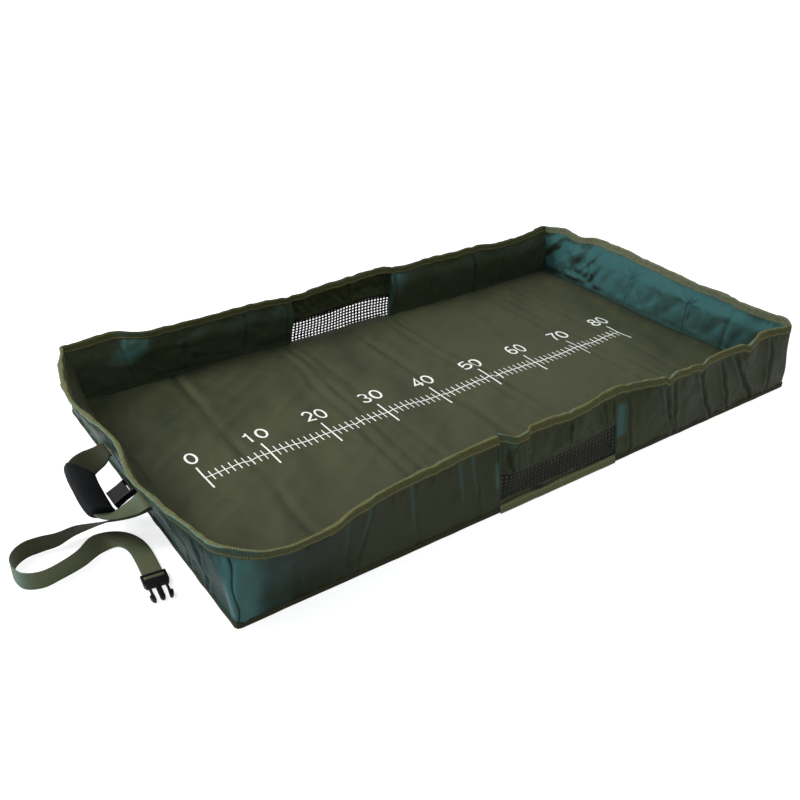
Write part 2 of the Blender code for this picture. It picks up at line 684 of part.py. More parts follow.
def handle_rows(end, back_y, front_y, swing_x):
    """Rows of a handle's middle line, from its back leg round to its front leg."""
    root_x = swing_x - end * LEG_OVERRUN
    straight_x = swing_x + end * LEG_STRAIGHT
    lift = [((root_x, back_y, SWING_Z), (0, -1, 0)), ((straight_x, back_y, SWING_Z), (0, -1, 0))]
    for (out, along, up), across in HANDLE_ROUTE_SHARES:
        place = (end * (LENGTH / 2 + out * HANDLE_REACH), front_y + along * (back_y - front_y), up * SWING_Z)
        lift.append((place, (-end * across[0], across[1], across[2])))
    lift += [((straight_x, front_y, SWING_Z), (0, 1, 0)), ((root_x, front_y, SWING_Z), (0, 1, 0))]
    return [(*place, *across) for place, across in lift]


def build_handles():
    legs = (HEAD_LEG_BACK_Y, HEAD_LEG_FRONT_Y)
    swing_x = clear_face(-1, legs, HANDLE_WEB_WIDTH, SWING_Z, SWING_STANDOFF)
    origin = (swing_x, (HEAD_LEG_BACK_Y + HEAD_LEG_FRONT_Y) / 2, SWING_Z)
    rows = handle_rows(-1, HEAD_LEG_BACK_Y, HEAD_LEG_FRONT_Y, swing_x)
    frames = ribbon_frames(smooth_rows(rows, HANDLE_STEPS), (-1, 0, 0), (1, 0, 0))
    build_ribbon("carry_handle_webbing", frames, HANDLE_WEB_WIDTH, HANDLE_WEB_THICK, WEB_OLIVE, origin)
    build_sleeve("grip_sleeve", frames[SLEEVE_FIRST_STEP:SLEEVE_LAST_STEP + 1], origin)
    far_legs = (TAIL_LEG_BACK_Y, TAIL_LEG_FRONT_Y)
    far_x = clear_face(1, far_legs, HANDLE_WEB_WIDTH, SWING_Z, SWING_STANDOFF)
    far_origin = (far_x, (TAIL_LEG_BACK_Y + TAIL_LEG_FRONT_Y) / 2, SWING_Z)
    far_rows = handle_rows(1, TAIL_LEG_BACK_Y, TAIL_LEG_FRONT_Y, far_x)
    far_frames = ribbon_frames(smooth_rows(far_rows, HANDLE_STEPS), (1, 0, 0), (-1, 0, 0))
    build_ribbon("far_handle_webbing", far_frames, HANDLE_WEB_WIDTH, HANDLE_WEB_THICK, WEB_OLIVE, far_origin)


def plug_rear():
    return Vector((-LENGTH / 2 - PLUG_REAR_OUT_LENGTH, PLUG_REAR_Y, PLUG_REAR_Z))


def build_strap():
    heading = Vector((*PLUG_HEADING, 0)).normalized()
    root_x = clear_face(-1, (STRAP_ROOT_Y,), STRAP_WIDTH, STRAP_ROOT_Z + STRAP_THICK, SEAT_GAP)
    root = (root_x, STRAP_ROOT_Y, STRAP_ROOT_Z)
    tip = plug_rear() - heading * SEAT_GAP
    places = [root]
    for out, along, up in STRAP_ROUTE_SHARES:
        places.append((-LENGTH / 2 - out * STRAP_REACH, STRAP_ROOT_Y + along * STRAP_REACH, up * STRAP_WIDTH))
    places.append(tuple(tip))
    rows = smooth_rows([(*p, share) for p, share in zip(places, STRAP_TURN_SHARES)], STRAP_STEPS)
    full = []
    for k, row in enumerate(rows):
        run = Vector(rows[min(k + 1, len(rows) - 1)][:3]) - Vector(rows[max(k - 1, 0)][:3])
        if k == 0:
            run = Vector((-1, 0, 0))
        if k == len(rows) - 1:
            run = heading
        flat = -run.normalized().cross(Vector((0, 0, 1))).normalized()
        turn = row[3] * math.pi / 2
        across = flat * math.cos(turn) + Vector((0, 0, math.sin(turn)))
        full.append((*row[:3], *across))
    frames = ribbon_frames(full, (-1, 0, 0), tuple(heading))
    build_ribbon("closing_strap", frames, STRAP_WIDTH, STRAP_THICK, WEB_OLIVE)


# Buckle


def prism(name, outline, thick, colour, edge):
    """A flat outline in its own U and V, made thick about its own middle, with its edges rounded."""
    bm = bmesh.new()
    low = [bm.verts.new((u, v, -thick / 2)) for u, v in outline]
    high = [bm.verts.new((u, v, thick / 2)) for u, v in outline]
    bm.faces.new(list(reversed(low)))
    bm.faces.new(high)
    count = len(outline)
    for k in range(count):
        bm.faces.new((low[k], low[(k + 1) % count], high[(k + 1) % count], high[k]))
    bmesh.ops.recalc_face_normals(bm, faces=bm.faces)
    flat_edges = [e for e in bm.edges if abs(e.verts[0].co.z - e.verts[1].co.z) < thick / 2]
    bmesh.ops.bevel(bm, geom=flat_edges, offset=edge, segments=2, profile=0.5, affect="EDGES")
    mesh = bpy.data.meshes.new(name)
    bm.to_mesh(mesh)
    bm.free()
    obj = bpy.data.objects.new(name, mesh)
    bpy.context.collection.objects.link(obj)
    mesh.materials.append(material(name + "_finish", colour, PLASTIC_ROUGH))
    return obj


def cutter(name, size, place):
    bm = bmesh.new()
    bmesh.ops.create_cube(bm, size=1.0)
    bmesh.ops.scale(bm, vec=size, verts=bm.verts)
    bmesh.ops.translate(bm, vec=place, verts=bm.verts)
    mesh = bpy.data.meshes.new(name)
    bm.to_mesh(mesh)
    bm.free()
    obj = bpy.data.objects.new(name, mesh)
    bpy.context.collection.objects.link(obj)
    return obj


def combine(obj, other, operation, solver="EXACT"):
    """Joins or cuts one solid with another, keeps the result as obj's own mesh and removes the other."""
    mod = obj.modifiers.new("combine", "BOOLEAN")
    mod.operation = operation
    mod.solver = solver
    mod.object = other
    bpy.context.view_layer.update()
    graph = bpy.context.evaluated_depsgraph_get()
    result = bpy.data.meshes.new_from_object(obj.evaluated_get(graph))
    obj.modifiers.clear()
    obj.data = result
    bpy.data.objects.remove(other, do_unlink=True)


def shade(obj):
    obj.data.shade_smooth()
    obj.data.set_sharp_from_angle(angle=math.radians(35))


def plug_matrix():
    heading = Vector((*PLUG_HEADING, 0)).normalized()
    across = heading.cross(Vector((0, 0, 1)))
    place = Matrix.Translation(plug_rear())
    turn = Matrix((across, heading, Vector((0, 0, 1)))).transposed().to_4x4()
    return place @ turn


def build_plug():
    half, shoulder = PLUG_WIDTH / 2, PLUG_SHOULDER_WIDTH / 2
    waist = PLUG_FRAME_LENGTH - PLUG_SHOULDER_LENGTH
    frame = [
        (-half, 0), (half, 0), (half, waist), (shoulder, PLUG_FRAME_LENGTH), (-shoulder, PLUG_FRAME_LENGTH),
        (-half, waist),
    ]
    plug = prism("buckle_plug", frame, PLUG_THICK, NEAR_BLACK, PLUG_EDGE)
    tongue_root = PLUG_FRAME_LENGTH - PLUG_SHOULDER_LENGTH / 2
    shaft = PLUG_LENGTH - TONGUE_TIP_LENGTH
    tongue = [
        (-TONGUE_WIDTH / 2, tongue_root), (TONGUE_WIDTH / 2, tongue_root), (TONGUE_WIDTH / 2, shaft),
        (TONGUE_TIP_WIDTH / 2, PLUG_LENGTH), (-TONGUE_TIP_WIDTH / 2, PLUG_LENGTH), (-TONGUE_WIDTH / 2, shaft),
    ]
    combine(plug, prism("tongue_blank", tongue, TONGUE_THICK, NEAR_BLACK, PLUG_EDGE), "UNION", "MANIFOLD")
    slot_middle = PLUG_BAR_LENGTH + PLUG_SLOT_LENGTH / 2
    slot_size = (PLUG_SLOT_WIDTH, PLUG_SLOT_LENGTH, 2 * PLUG_THICK)
    combine(plug, cutter("slot_cutter", slot_size, (0, slot_middle, 0)), "DIFFERENCE")
    place = plug_matrix()
    plug.matrix_world = place
    shade(plug)
    for name, side in (("latch_arm_left", -1), ("latch_arm_right", 1)):
        pivot = Vector((side * ARM_PIVOT_U, PLUG_FRAME_LENGTH + SEAT_GAP, 0))
        ahead = PLUG_LENGTH - PLUG_FRAME_LENGTH
        outline = [(side * u * PLUG_WIDTH - pivot.x, v * ahead) for u, v in ARM_OUTLINE_SHARES]
        arm = prism(name, outline, ARM_THICK, NEAR_BLACK, PLUG_EDGE)
        arm.matrix_world = place @ Matrix.Translation(pivot)
        shade(arm)


def build_socket():
    """The socket lies along its own -X, from the webbing tab at the wall to its mouth."""
    swing_x = clear_face(-1, (SOCKET_Y,), TAB_WIDTH, SWING_Z, SWING_STANDOFF)
    place = Matrix.Translation((swing_x, SOCKET_Y, SWING_Z)) @ Matrix.Rotation(-SOCKET_TILT, 4, "Y")
    rear = TAB_LENGTH + SEAT_GAP
    half = SOCKET_WIDTH / 2
    middle = rear + SOCKET_LENGTH / 2
    mouth = rear + SOCKET_LENGTH
    outline = [
        (-rear, -half), (-rear, half), (-middle, half - SOCKET_WAIST), (-mouth, half), (-mouth, -half),
        (-middle, -half + SOCKET_WAIST),
    ]
    socket = prism("buckle_socket", outline, SOCKET_THICK, NEAR_BLACK, SOCKET_EDGE)
    cavity_size = (2 * MOUTH_DEPTH, MOUTH_WIDTH, MOUTH_THICK)
    combine(socket, cutter("cavity_cutter", cavity_size, (-mouth, 0, 0)), "DIFFERENCE")
    window_size = (WINDOW_LENGTH, 2 * SOCKET_WIDTH, MOUTH_THICK)
    window_middle = -mouth + WINDOW_START + WINDOW_LENGTH / 2
    combine(socket, cutter("window_cutter", window_size, (window_middle, 0, 0)), "DIFFERENCE")
    slot_size = (SOCKET_SLOT_LENGTH, SOCKET_SLOT_WIDTH, 2 * SOCKET_THICK)
    slot_middle = -rear - SOCKET_BAR_LENGTH - SOCKET_SLOT_LENGTH / 2
    combine(socket, cutter("slot_cutter", slot_size, (slot_middle, 0, 0)), "DIFFERENCE")
    socket.matrix_world = place
    shade(socket)
    tab_outline = [
        (LEG_OVERRUN, -TAB_WIDTH / 2), (LEG_OVERRUN, TAB_WIDTH / 2), (-TAB_LENGTH, TAB_WIDTH / 2),
        (-TAB_LENGTH, -TAB_WIDTH / 2),
    ]
    verts = [(u, v, side * TAB_THICK / 2) for side in (-1, 1) for u, v in tab_outline]
    faces = [(0, 3, 2, 1), (4, 5, 6, 7)] + [(k, (k + 1) % 4, 4 + (k + 1) % 4, 4 + k) for k in range(4)]
    tab = finish_object("socket_tab", verts, faces, WEB_OLIVE, FABRIC_ROUGH)
    tab.matrix_world = place


def build_all():
    clear_scene()
    half, gap = LENGTH / 2, FOLD_GAP / 2
    head_low = (-half, -half + FLOOR_INSET)
    head_high = (HEAD_FOLD_X - gap, HEAD_FOLD_X - gap)
    mid_low = (HEAD_FOLD_X + gap, HEAD_FOLD_X + gap)
    mid_high = (TAIL_FOLD_X - gap, TAIL_FOLD_X - gap)
    tail_low = (TAIL_FOLD_X + gap, TAIL_FOLD_X + gap)
    tail_high = (half, half - FLOOR_INSET)
    head_panel = (-half, HEAD_FOLD_X + half)
    mid_panel = (HEAD_FOLD_X, MID_LENGTH)
    tail_panel = (TAIL_FOLD_X, half - TAIL_FOLD_X)
    fold, end = FLOOR_FOLD_DEPTH, FLOOR_END_DEPTH
    build_floor("mid", mid_low, mid_high, fold, fold, MID_INSET, mid_panel, MID_FLOOR_LINE_SHARES)
    build_floor("head", head_low, head_high, end, fold, FLOOR_INSET, head_panel, HEAD_FLOOR_LINE_SHARES)
    build_floor("tail", tail_low, tail_high, fold, end, FLOOR_INSET, tail_panel, TAIL_FLOOR_LINE_SHARES)
    build_walls("head", -1)
    build_walls("tail", 1)
    build_mid_side("front", -1)
    build_mid_side("back", 1)
    build_patch("carry_handle_back_patch", HEAD_LEG_BACK_Y, PATCH_WIDTH, -1)
    build_patch("carry_handle_front_patch", HEAD_LEG_FRONT_Y, PATCH_WIDTH, -1)
    build_patch("socket_patch", SOCKET_Y, TAB_PATCH_WIDTH, -1)
    build_patch("far_handle_back_patch", TAIL_LEG_BACK_Y, PATCH_WIDTH, 1)
    build_patch("far_handle_front_patch", TAIL_LEG_FRONT_Y, PATCH_WIDTH, 1)
    build_handles()
    build_strap()
    build_plug()
    build_socket()


build_all()
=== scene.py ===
"""Looks of the unhooking mat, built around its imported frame: fabric, nets, tapes, webbing and the printed ruler."""
import json
import math
from functools import partial

import bmesh
import bpy
import numpy as np
from mathutils import Matrix, Vector

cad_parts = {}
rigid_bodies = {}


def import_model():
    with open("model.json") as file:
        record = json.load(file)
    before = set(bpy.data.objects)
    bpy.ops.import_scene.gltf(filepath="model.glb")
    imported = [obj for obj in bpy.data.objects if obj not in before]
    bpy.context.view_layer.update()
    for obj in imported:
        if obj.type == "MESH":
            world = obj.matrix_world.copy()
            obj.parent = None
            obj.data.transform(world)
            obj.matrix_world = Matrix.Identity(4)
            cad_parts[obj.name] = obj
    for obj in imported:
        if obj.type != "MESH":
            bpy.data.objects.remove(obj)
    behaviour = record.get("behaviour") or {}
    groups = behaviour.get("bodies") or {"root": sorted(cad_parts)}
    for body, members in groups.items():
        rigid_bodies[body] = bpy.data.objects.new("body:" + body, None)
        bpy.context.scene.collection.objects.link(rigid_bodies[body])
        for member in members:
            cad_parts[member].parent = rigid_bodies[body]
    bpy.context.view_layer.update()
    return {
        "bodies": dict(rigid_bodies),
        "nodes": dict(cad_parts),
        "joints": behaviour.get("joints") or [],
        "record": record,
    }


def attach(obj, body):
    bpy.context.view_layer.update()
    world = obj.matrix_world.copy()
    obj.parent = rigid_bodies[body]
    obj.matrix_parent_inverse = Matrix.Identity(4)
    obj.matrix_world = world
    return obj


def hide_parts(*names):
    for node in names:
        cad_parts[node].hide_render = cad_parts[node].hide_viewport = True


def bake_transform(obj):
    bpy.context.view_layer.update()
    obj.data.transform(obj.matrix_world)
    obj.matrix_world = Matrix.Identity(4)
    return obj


# Sizes of the part, as its source has them. Ends are -1 for the head and 1 for the tail, and sides -1 for the
# front and 1 for the back.
LENGTH = 1.0
WIDTH = 0.58
HEIGHT = 0.116
FOLD_X = {-1: -0.117, 1: 0.099}
SPLIT_X = -0.009
WALL_FOOT_Z = 0.0013
FLOOR_TOP_Z = 0.0274
WALL_TOP_Z = 0.1145
WALL_THICK = 0.0122
MESH_LOW_Z = 0.0105
MESH_HIGH_Z = 0.0600
END_NAMES = {-1: "head", 1: "tail"}
SIDE_NAMES = {-1: "front", 1: "back"}

# How far each wall's rim leans out, as a share of the height, at places that are shares of the wall's length
FRONT_LEAN_SHARES = (
    (-0.5, 0.05), (-0.475, 0.22), (-0.44, 0.31), (-0.39, 0.28), (-0.35, 0.15), (-0.3, 0.06), (-0.2, -0.03),
    (-0.12, -0.09), (-0.094, 0.03), (-0.082, 0.04), (-0.066, -0.035), (0.02, -0.03), (0.1, -0.12), (0.19, 0.05),
    (0.26, 0.04), (0.32, -0.02), (0.38, 0.03), (0.425, -0.09), (0.5, 0.0),
)
BACK_LEAN_SHARES = (
    (-0.5, 0.0), (-0.468, 0.04), (-0.416, 0.08), (-0.393, -0.06), (-0.359, -0.2), (-0.331, -0.14),
    (-0.265, -0.19), (-0.21, -0.155), (-0.138, -0.215), (-0.1, -0.23), (-0.077, -0.17), (-0.011, -0.09),
    (0.02, -0.02), (0.079, -0.03), (0.126, -0.15), (0.186, -0.11), (0.244, -0.13), (0.285, -0.08),
    (0.349, -0.2), (0.385, -0.18), (0.438, -0.1), (0.48, 0.02), (0.5, 0.0),
)
HEAD_LEAN_SHARES = (
    (-0.5, 0.08), (-0.4379, 0.14), (-0.3448, 0.23), (-0.2672, 0.285), (-0.1931, 0.336), (-0.1259, 0.3),
    (-0.0224, 0.224), (0.0448, 0.25), (0.1448, 0.32), (0.2, 0.345), (0.2534, 0.32), (0.4017, 0.164),
    (0.5, 0.01),
)
TAIL_LEAN_SHARES = (
    (-0.5, -0.09), (-0.4569, 0.02), (-0.3483, -0.03), (-0.2328, 0.03), (-0.119, 0.04), (0.0569, 0.14),
    (0.1759, 0.2), (0.2931, 0.22), (0.3379, 0.03), (0.4431, 0.09), (0.5, -0.08),
)

# Camera, fitted to the ruler's marks and the tray's bottom corners
CAMERA_PLACE = (-0.78578569, -1.01165752, 0.72883583)
CAMERA_RIGHT = (0.82000448, -0.57233461, 0.00507353)
CAMERA_UP = (0.28033621, 0.40934448, 0.86824461)
CAMERA_BACK = (-0.49900326, -0.71054218, 0.49611043)
CAMERA_LENS = 40.896
SENSOR = 36.0

# Colours as light values
FLOOR_OLIVE = (0.067, 0.071, 0.036)
# The floor's dark colour is painted shade.
FLOOR_DARK = (0.032, 0.036, 0.017)
WALL_GREEN = (0.0310, 0.0360, 0.0170)
# The nylon is two-coloured, but its teal is laid on as painted sheen and highlight; the shade colour is painted shade.
WALL_TEAL = (0.052, 0.150, 0.148)
WALL_SHADE = (0.007, 0.015, 0.012)
# The rim tape's top is painted lighter than its sides, as light falls on it; its sage and side teal are painted
# highlight where it faces the key lamp.
TAPE_OLIVE = (0.200, 0.200, 0.085)
TAPE_SAGE = (0.190, 0.310, 0.235)
TAPE_SIDE = (0.090, 0.090, 0.034)
TAPE_SIDE_TEAL = (0.035, 0.082, 0.078)
# Painted shade on the back rims' tops.
TAPE_TOP_SHADE = (0.030, 0.033, 0.018)
# Painted light on the tail rim's inner side.
TAPE_SIDE_LIGHT = (0.210, 0.235, 0.145)
FOOT_OLIVE = (0.034, 0.036, 0.018)
# The foot tape's sage is painted highlight where it faces the key lamp.
FOOT_SAGE = (0.050, 0.070, 0.045)
LIGHT_OLIVE = (0.145, 0.152, 0.070)
THREAD = (0.300, 0.310, 0.180)
THREAD_DARK = (0.012, 0.020, 0.018)
FOOT_THREAD = (0.062, 0.065, 0.036)
WEB_OLIVE = (0.128, 0.140, 0.072)
# The webbing's sage is painted sheen where it faces the key lamp, and its shade colour painted shade.
WEB_SAGE = (0.150, 0.225, 0.165)
WEB_SHADE = (0.022, 0.020, 0.008)
NET_BLACK = (0.006, 0.007, 0.007)
NET_TONES = ((0.003, 0.0035, 0.003), (0.013, 0.014, 0.012))
GRIP_BLACK = (0.012, 0.012, 0.013)
GRIP_TONES = ((0.006, 0.007, 0.008), (0.014, 0.015, 0.017))
PLASTIC_BLACK = (0.007, 0.007, 0.008)
PRINT_WHITE = (0.950, 0.955, 0.890)
PRINT_WORN = (0.45, 0.45, 0.38)
SHEEN_TEAL = (0.5, 0.9, 0.9)
SHEEN_OLIVE = (0.8, 0.9, 0.7)
SHEEN_SAGE = (0.7, 0.95, 0.85)
SHEEN_GREY = (0.8, 0.8, 0.9)

# Pitches of what is woven or sewn
WEAVE_PITCH = 0.0024
RIB_PITCH = 0.0019
TAPE_STITCH = 0.0040
DART_STITCH = 0.0034
ZIGZAG = 0.0016

SMOOTH_ANGLE = math.radians(60)
NET_SMOOTH_ANGLE = math.radians(50)
FAR_AWAY = 1.0


# Smooth functions of place


def lattice(ix, iy, seed):
    value = np.sin(ix * 127.1 + iy * 311.7 + seed * 74.7) * 43758.5453
    return value - np.floor(value)


def noise(x, y, seed):
    """Smooth noise from -1 to 1 over a plane."""
    ix, iy = np.floor(x), np.floor(y)
    fx, fy = x - ix, y - iy
    ux = fx ** 3 * (fx * (fx * 6 - 15) + 10)
    uy = fy ** 3 * (fy * (fy * 6 - 15) + 10)
    low = lattice(ix, iy, seed) * (1 - ux) + lattice(ix + 1, iy, seed) * ux
    high = lattice(ix, iy + 1, seed) * (1 - ux) + lattice(ix + 1, iy + 1, seed) * ux
    return 2 * (low * (1 - uy) + high * uy) - 1


def turned_noise(x, y, angle, along, across, seed):
    """Noise whose cells are stretched along a direction: long thin creases."""
    c, s = math.cos(angle), math.sin(angle)
    return noise((x * c + y * s) / along, (-x * s + y * c) / across, seed)


def folded(x, y, angle, along, across, seed):
    """Noise folded at nought into sharp valleys, about level."""
    return np.abs(turned_noise(x, y, angle, along, across, seed)) - 0.3


def facets(x, y, gap, angle, stretch, seed):
    """Flat facets that meet in straight creases, from -1 to 1, as crumpled nylon has them."""
    c, s = math.cos(angle), math.sin(angle)
    a, b = (x * c + y * s) / (gap * stretch), (-x * s + y * c) / gap
    a, b = a + 0.45 * noise(0.9 * a, 0.9 * b, seed + 50), b + 0.45 * noise(0.9 * a, 0.9 * b, seed + 51)
    ia, ib = np.floor(a), np.floor(b)
    fa, fb = a - ia, b - ib
    v00, v10, v01, v11 = (2 * lattice(ia + i, ib + j, seed) - 1 for i, j in ((0, 0), (1, 0), (0, 1), (1, 1)))
    low_half = v00 + fa * (v10 - v00) + fb * (v01 - v00)
    high_half = v11 + (1 - fa) * (v01 - v11) + (1 - fb) * (v10 - v11)
    right_half = v00 + fa * (v10 - v00) + fb * (v11 - v10)
    left_half = v00 + fb * (v01 - v00) + fa * (v11 - v01)
    falling, rising = np.where(fa + fb < 1, low_half, high_half), np.where(fa > fb, right_half, left_half)
    return np.where(lattice(ia, ib, seed + 7) > 0.5, falling, rising)


def lit_facets(*place_and_kind):
    return np.clip(facets(*place_and_kind), 0, 1)


def facet_sum(rows, seed, x, y):
    """Facets on facets. Rows hold depth, gap, angle and stretch."""
    return sum(depth * facets(x, y, *kind, seed + k) for k, (depth, *kind) in enumerate(rows))


def ridge(value, sharp):
    """A fine raised line where a noise crosses nought."""
    return np.exp(-np.abs(value) * sharp)


def step_up(value, low, high):
    t = np.clip((value - low) / (high - low), 0, 1)
    return t * t * (3 - 2 * t)


def step_down(value, low, high):
    return 1 - step_up(value, low, high)


def between(value, start, full, waning, gone):
    """1 from full to waning, and 0 up to start and from gone on."""
    return step_up(value, start, full) * step_down(value, waning, gone)


def bump(value, middle, half):
    return np.exp(-(((value - middle) / half) ** 2))


def smooth_table(xs, ys, at):
    """A curve through a table's points that makes no overshoot."""
    xs, ys = np.asarray(xs, float), np.asarray(ys, float)
    h, d = np.diff(xs), np.diff(ys) / np.diff(xs)
    m = np.zeros(len(xs))
    m[0], m[-1] = d[0], d[-1]
    for k in range(1, len(xs) - 1):
        if d[k - 1] * d[k] > 0:
            w1, w2 = 2 * h[k] + h[k - 1], h[k] + 2 * h[k - 1]
            m[k] = (w1 + w2) / (w1 / d[k - 1] + w2 / d[k])
    at = np.clip(at, xs[0], xs[-1])
    k = np.clip(np.searchsorted(xs, at, side="right") - 1, 0, len(h) - 1)
    t = (at - xs[k]) / h[k]
    a, b = ys[k], ys[k + 1]
    curve = a * (1 + 2 * t) * (1 - t) ** 2 + b * t * t * (3 - 2 * t)
    return curve + h[k] * (m[k] * t * (1 - t) ** 2 + m[k + 1] * t * t * (t - 1))


# Materials


class Value:
    """A shader node's output. Sums, products and the like of values make the nodes that work them out."""

    def __init__(self, tree, socket):
        self.tree, self.socket = tree, socket

    def math(self, operation, a, b=None):
        inputs = {index: value for index, value in enumerate((a, b)) if value is not None}
        return Value(self.tree, node(self.tree, "ShaderNodeMath", inputs, operation=operation).outputs[0])

    def __add__(self, other):
        return self.math("ADD", self, other)

    def __sub__(self, other):
        return self.math("SUBTRACT", self, other)

    def __rsub__(self, other):
        return self.math("SUBTRACT", other, self)

    def __mul__(self, other):
        return self.math("MULTIPLY", self, other)

    def __truediv__(self, other):
        return self.math("DIVIDE", self, other)

    def __gt__(self, other):
        return self.math("GREATER_THAN", self, other)

    def __abs__(self):
        return self.math("ABSOLUTE", self)

    def largest(self, other):
        return self.math("MAXIMUM", self, other)

    def zigzag(self, reach):
        return self.math("PINGPONG", self, reach)

    def wave(self, pitch):
        return self.math("SINE", self * (2 * math.pi / pitch))

    def stitches(self, pitch):
        """1 on the threads of a row of stitches, 0 between them."""
        return self.wave(pitch) > -0.5

    def line(self, middle, half):
        """1 on a line, falling to 0 at half its width."""
        return (1.0 - abs(self - middle) / half).held()

    def held(self):
        """Keeps the value from 0 to 1."""
        self.socket.node.use_clamp = True
        return self


def node(tree, kind, inputs=None, **properties):
    """A shader node whose inputs are plain values or the outputs of other nodes."""
    made = tree.nodes.new(kind)
    for key, value in properties.items():
        setattr(made, key, value)
    for key, value in (inputs or {}).items():
        put(tree, made.inputs[key], value)
    return made


def put(tree, socket, value):
    if isinstance(value, Value):
        tree.links.new(value.socket, socket)
    else:
        socket.default_value = value


class Look:
    """A material in the making."""

    def __init__(self, name, colour, rough, gloss=None):
        self.mat = bpy.data.materials.new(name)
        self.mat.use_nodes = True
        self.tree = self.mat.node_tree
        self.shader = self.tree.nodes["Principled BSDF"]
        self.place = Value(self.tree, node(self.tree, "ShaderNodeTexCoord").outputs["Object"])
        self.set("Base Color", (*colour, 1))
        self.set("Roughness", rough)
        if gloss is not None:
            self.set("Specular IOR Level", gloss)

    def set(self, name, value):
        put(self.tree, self.shader.inputs[name], value)

    def sheen(self, weight, rough, tint):
        self.set("Sheen Weight", weight)
        self.set("Sheen Roughness", rough)
        self.set("Sheen Tint", (*tint, 1))

    def bump(self, height, strength, distance):
        inputs = {"Height": height, "Strength": strength, "Distance": distance}
        self.set("Normal", Value(self.tree, node(self.tree, "ShaderNodeBump", inputs).outputs["Normal"]))

    def attribute(self, name):
        return Value(self.tree, node(self.tree, "ShaderNodeAttribute", attribute_name=name).outputs["Fac"])

    def mix(self, factor, a, b):
        """Colour a where the factor is 0, and b where it is 1."""
        inputs = {0: factor, 6: (*a, 1) if isinstance(a, tuple) else a, 7: (*b, 1) if isinstance(b, tuple) else b}
        return Value(self.tree, node(self.tree, "ShaderNodeMix", inputs, data_type="RGBA").outputs[2])

    def texture(self, kind, output, inputs, **properties):
        made = node(self.tree, "ShaderNodeTex" + kind, {"Vector": self.place, **inputs}, **properties)
        return Value(self.tree, made.outputs[output])

    def noise(self, scale, detail, rough):
        return self.texture("Noise", "Fac", {"Scale": scale, "Detail": detail, "Roughness": rough})

    def weave(self, scale):
        """Threads over and under each other in the object's three planes."""
        x, y, z = (self.texture("Wave", "Fac", {"Scale": scale}, bands_direction=way) for way in "XYZ")
        return x + y + z


def scaled(colour, share):
    return tuple(share * c for c in colour)


def fabric_material(name, colour, other, rough, gloss, sheen):
    """Coated nylon: a fine weave, soft patches, the second colour where the mesh's tint says, which is painted sheen on
    the walls and painted shade on the floor, and painted shade where the mesh's shade says.
    """
    look = Look(name, colour, rough)
    patches, fine = look.noise(9.0, 4.0, 0.6), look.noise(160.0, 2.0, 0.6)
    shade, seam = look.attribute("shade"), look.attribute("seam").line(0.0, 0.0019)
    ground = look.mix(patches, scaled(colour, 0.72), scaled(colour, 1.25))
    tinted = look.mix(shade, look.mix(look.attribute("tint"), ground, other), WALL_SHADE)
    seamed = look.mix(seam, tinted, scaled(colour, 0.08))
    dart = abs(look.attribute("dart")).line(DART_HALF, 0.0007)
    stitch = dart * look.attribute("high").stitches(DART_STITCH)
    look.set("Base Color", look.mix(stitch * 0.8, seamed, THREAD_DARK))
    look.set("Roughness", patches * 0.25 + (rough - 0.12))
    look.bump(look.weave(900) * 0.5 + fine * 1.6 - seam * 3.0, 0.35, 0.0004)
    # The painted shade dims the gloss and sheen too.
    shade_gloss_share = (1.0 - shade * 0.85).held()
    look.set("Specular IOR Level", shade_gloss_share * gloss)
    look.sheen(shade_gloss_share * sheen, 0.35, SHEEN_TEAL)
    return look.mat


def tape_material(name, top, top_other, side, side_other, half, fold_line, thread):
    """Woven binding tape: ribs across it, colours of its own on the top fold and on the sides, each with a painted
    highlight where the tint says, painted shade on the top and painted light on the side where the mesh says, and
    zigzag stitches near each edge.
    """
    look = Look(name, top, 0.75, 0.06)
    along, off_middle = look.attribute("along"), abs(look.attribute("across"))
    tint, fleck = look.attribute("tint"), look.noise(260.0, 3.0, 0.7)
    on_top = look.mix(look.attribute("top_shade"), look.mix(tint, top, top_other), TAPE_TOP_SHADE)
    on_side = look.mix(look.attribute("side_light"), look.mix(tint, side, side_other), TAPE_SIDE_LIGHT)
    below = ((off_middle - (look.attribute("wide") + fold_line)) / 0.0008).held()
    ribs = (along.wave(RIB_PITCH) + 1.0) * 0.5
    dark = (ribs * 0.35 + fleck * 1.2 - 0.45).held()
    shaded = look.mix(dark, look.mix(below, on_top, on_side), scaled(side, 0.30))
    row = (off_middle + along.zigzag(ZIGZAG) * 0.5).line(half - 0.0010, 0.0007)
    stitch = row * (along.stitches(TAPE_STITCH) * 0.6 + 0.3)
    look.set("Base Color", look.mix(stitch, shaded, thread))
    look.bump(ribs + stitch * 1.5 + fleck, 0.8, 0.0006)
    look.sheen(0.03, 0.5, SHEEN_OLIVE)
    return look.mat


def webbing_material(name, by_place=False):
    """Woven webbing: chevrons of coarse yarn that run along it. Pieces without the attributes go by place."""
    look = Look(name, WEB_OLIVE, 0.7, 0.15)
    along, across = look.attribute("along"), look.attribute("across")
    if by_place:
        parts = node(look.tree, "ShaderNodeSeparateXYZ", {"Vector": look.place})
        along, across = (Value(look.tree, parts.outputs[key]) for key in "ZY")
    # Painted sheen where the tint says, and painted shade where the shade says.
    ground = look.mix(look.attribute("tint"), WEB_OLIVE, WEB_SAGE)
    ground = look.mix(look.attribute("shade"), ground, WEB_SHADE)
    rib = (along + across.zigzag(WEAVE_PITCH)).wave(WEAVE_PITCH)
    height = rib * 0.5 + across.wave(WEAVE_PITCH) * 0.5
    shade = (height * 0.40 + look.noise(500.0, 2.0, 0.6) * 0.6).held()
    look.set("Base Color", look.mix(shade, ground, scaled(WEB_OLIVE, 0.40)))
    look.bump(height, 0.6, 0.0005)
    look.sheen(0.12, 0.4, SHEEN_SAGE)
    return look.mat


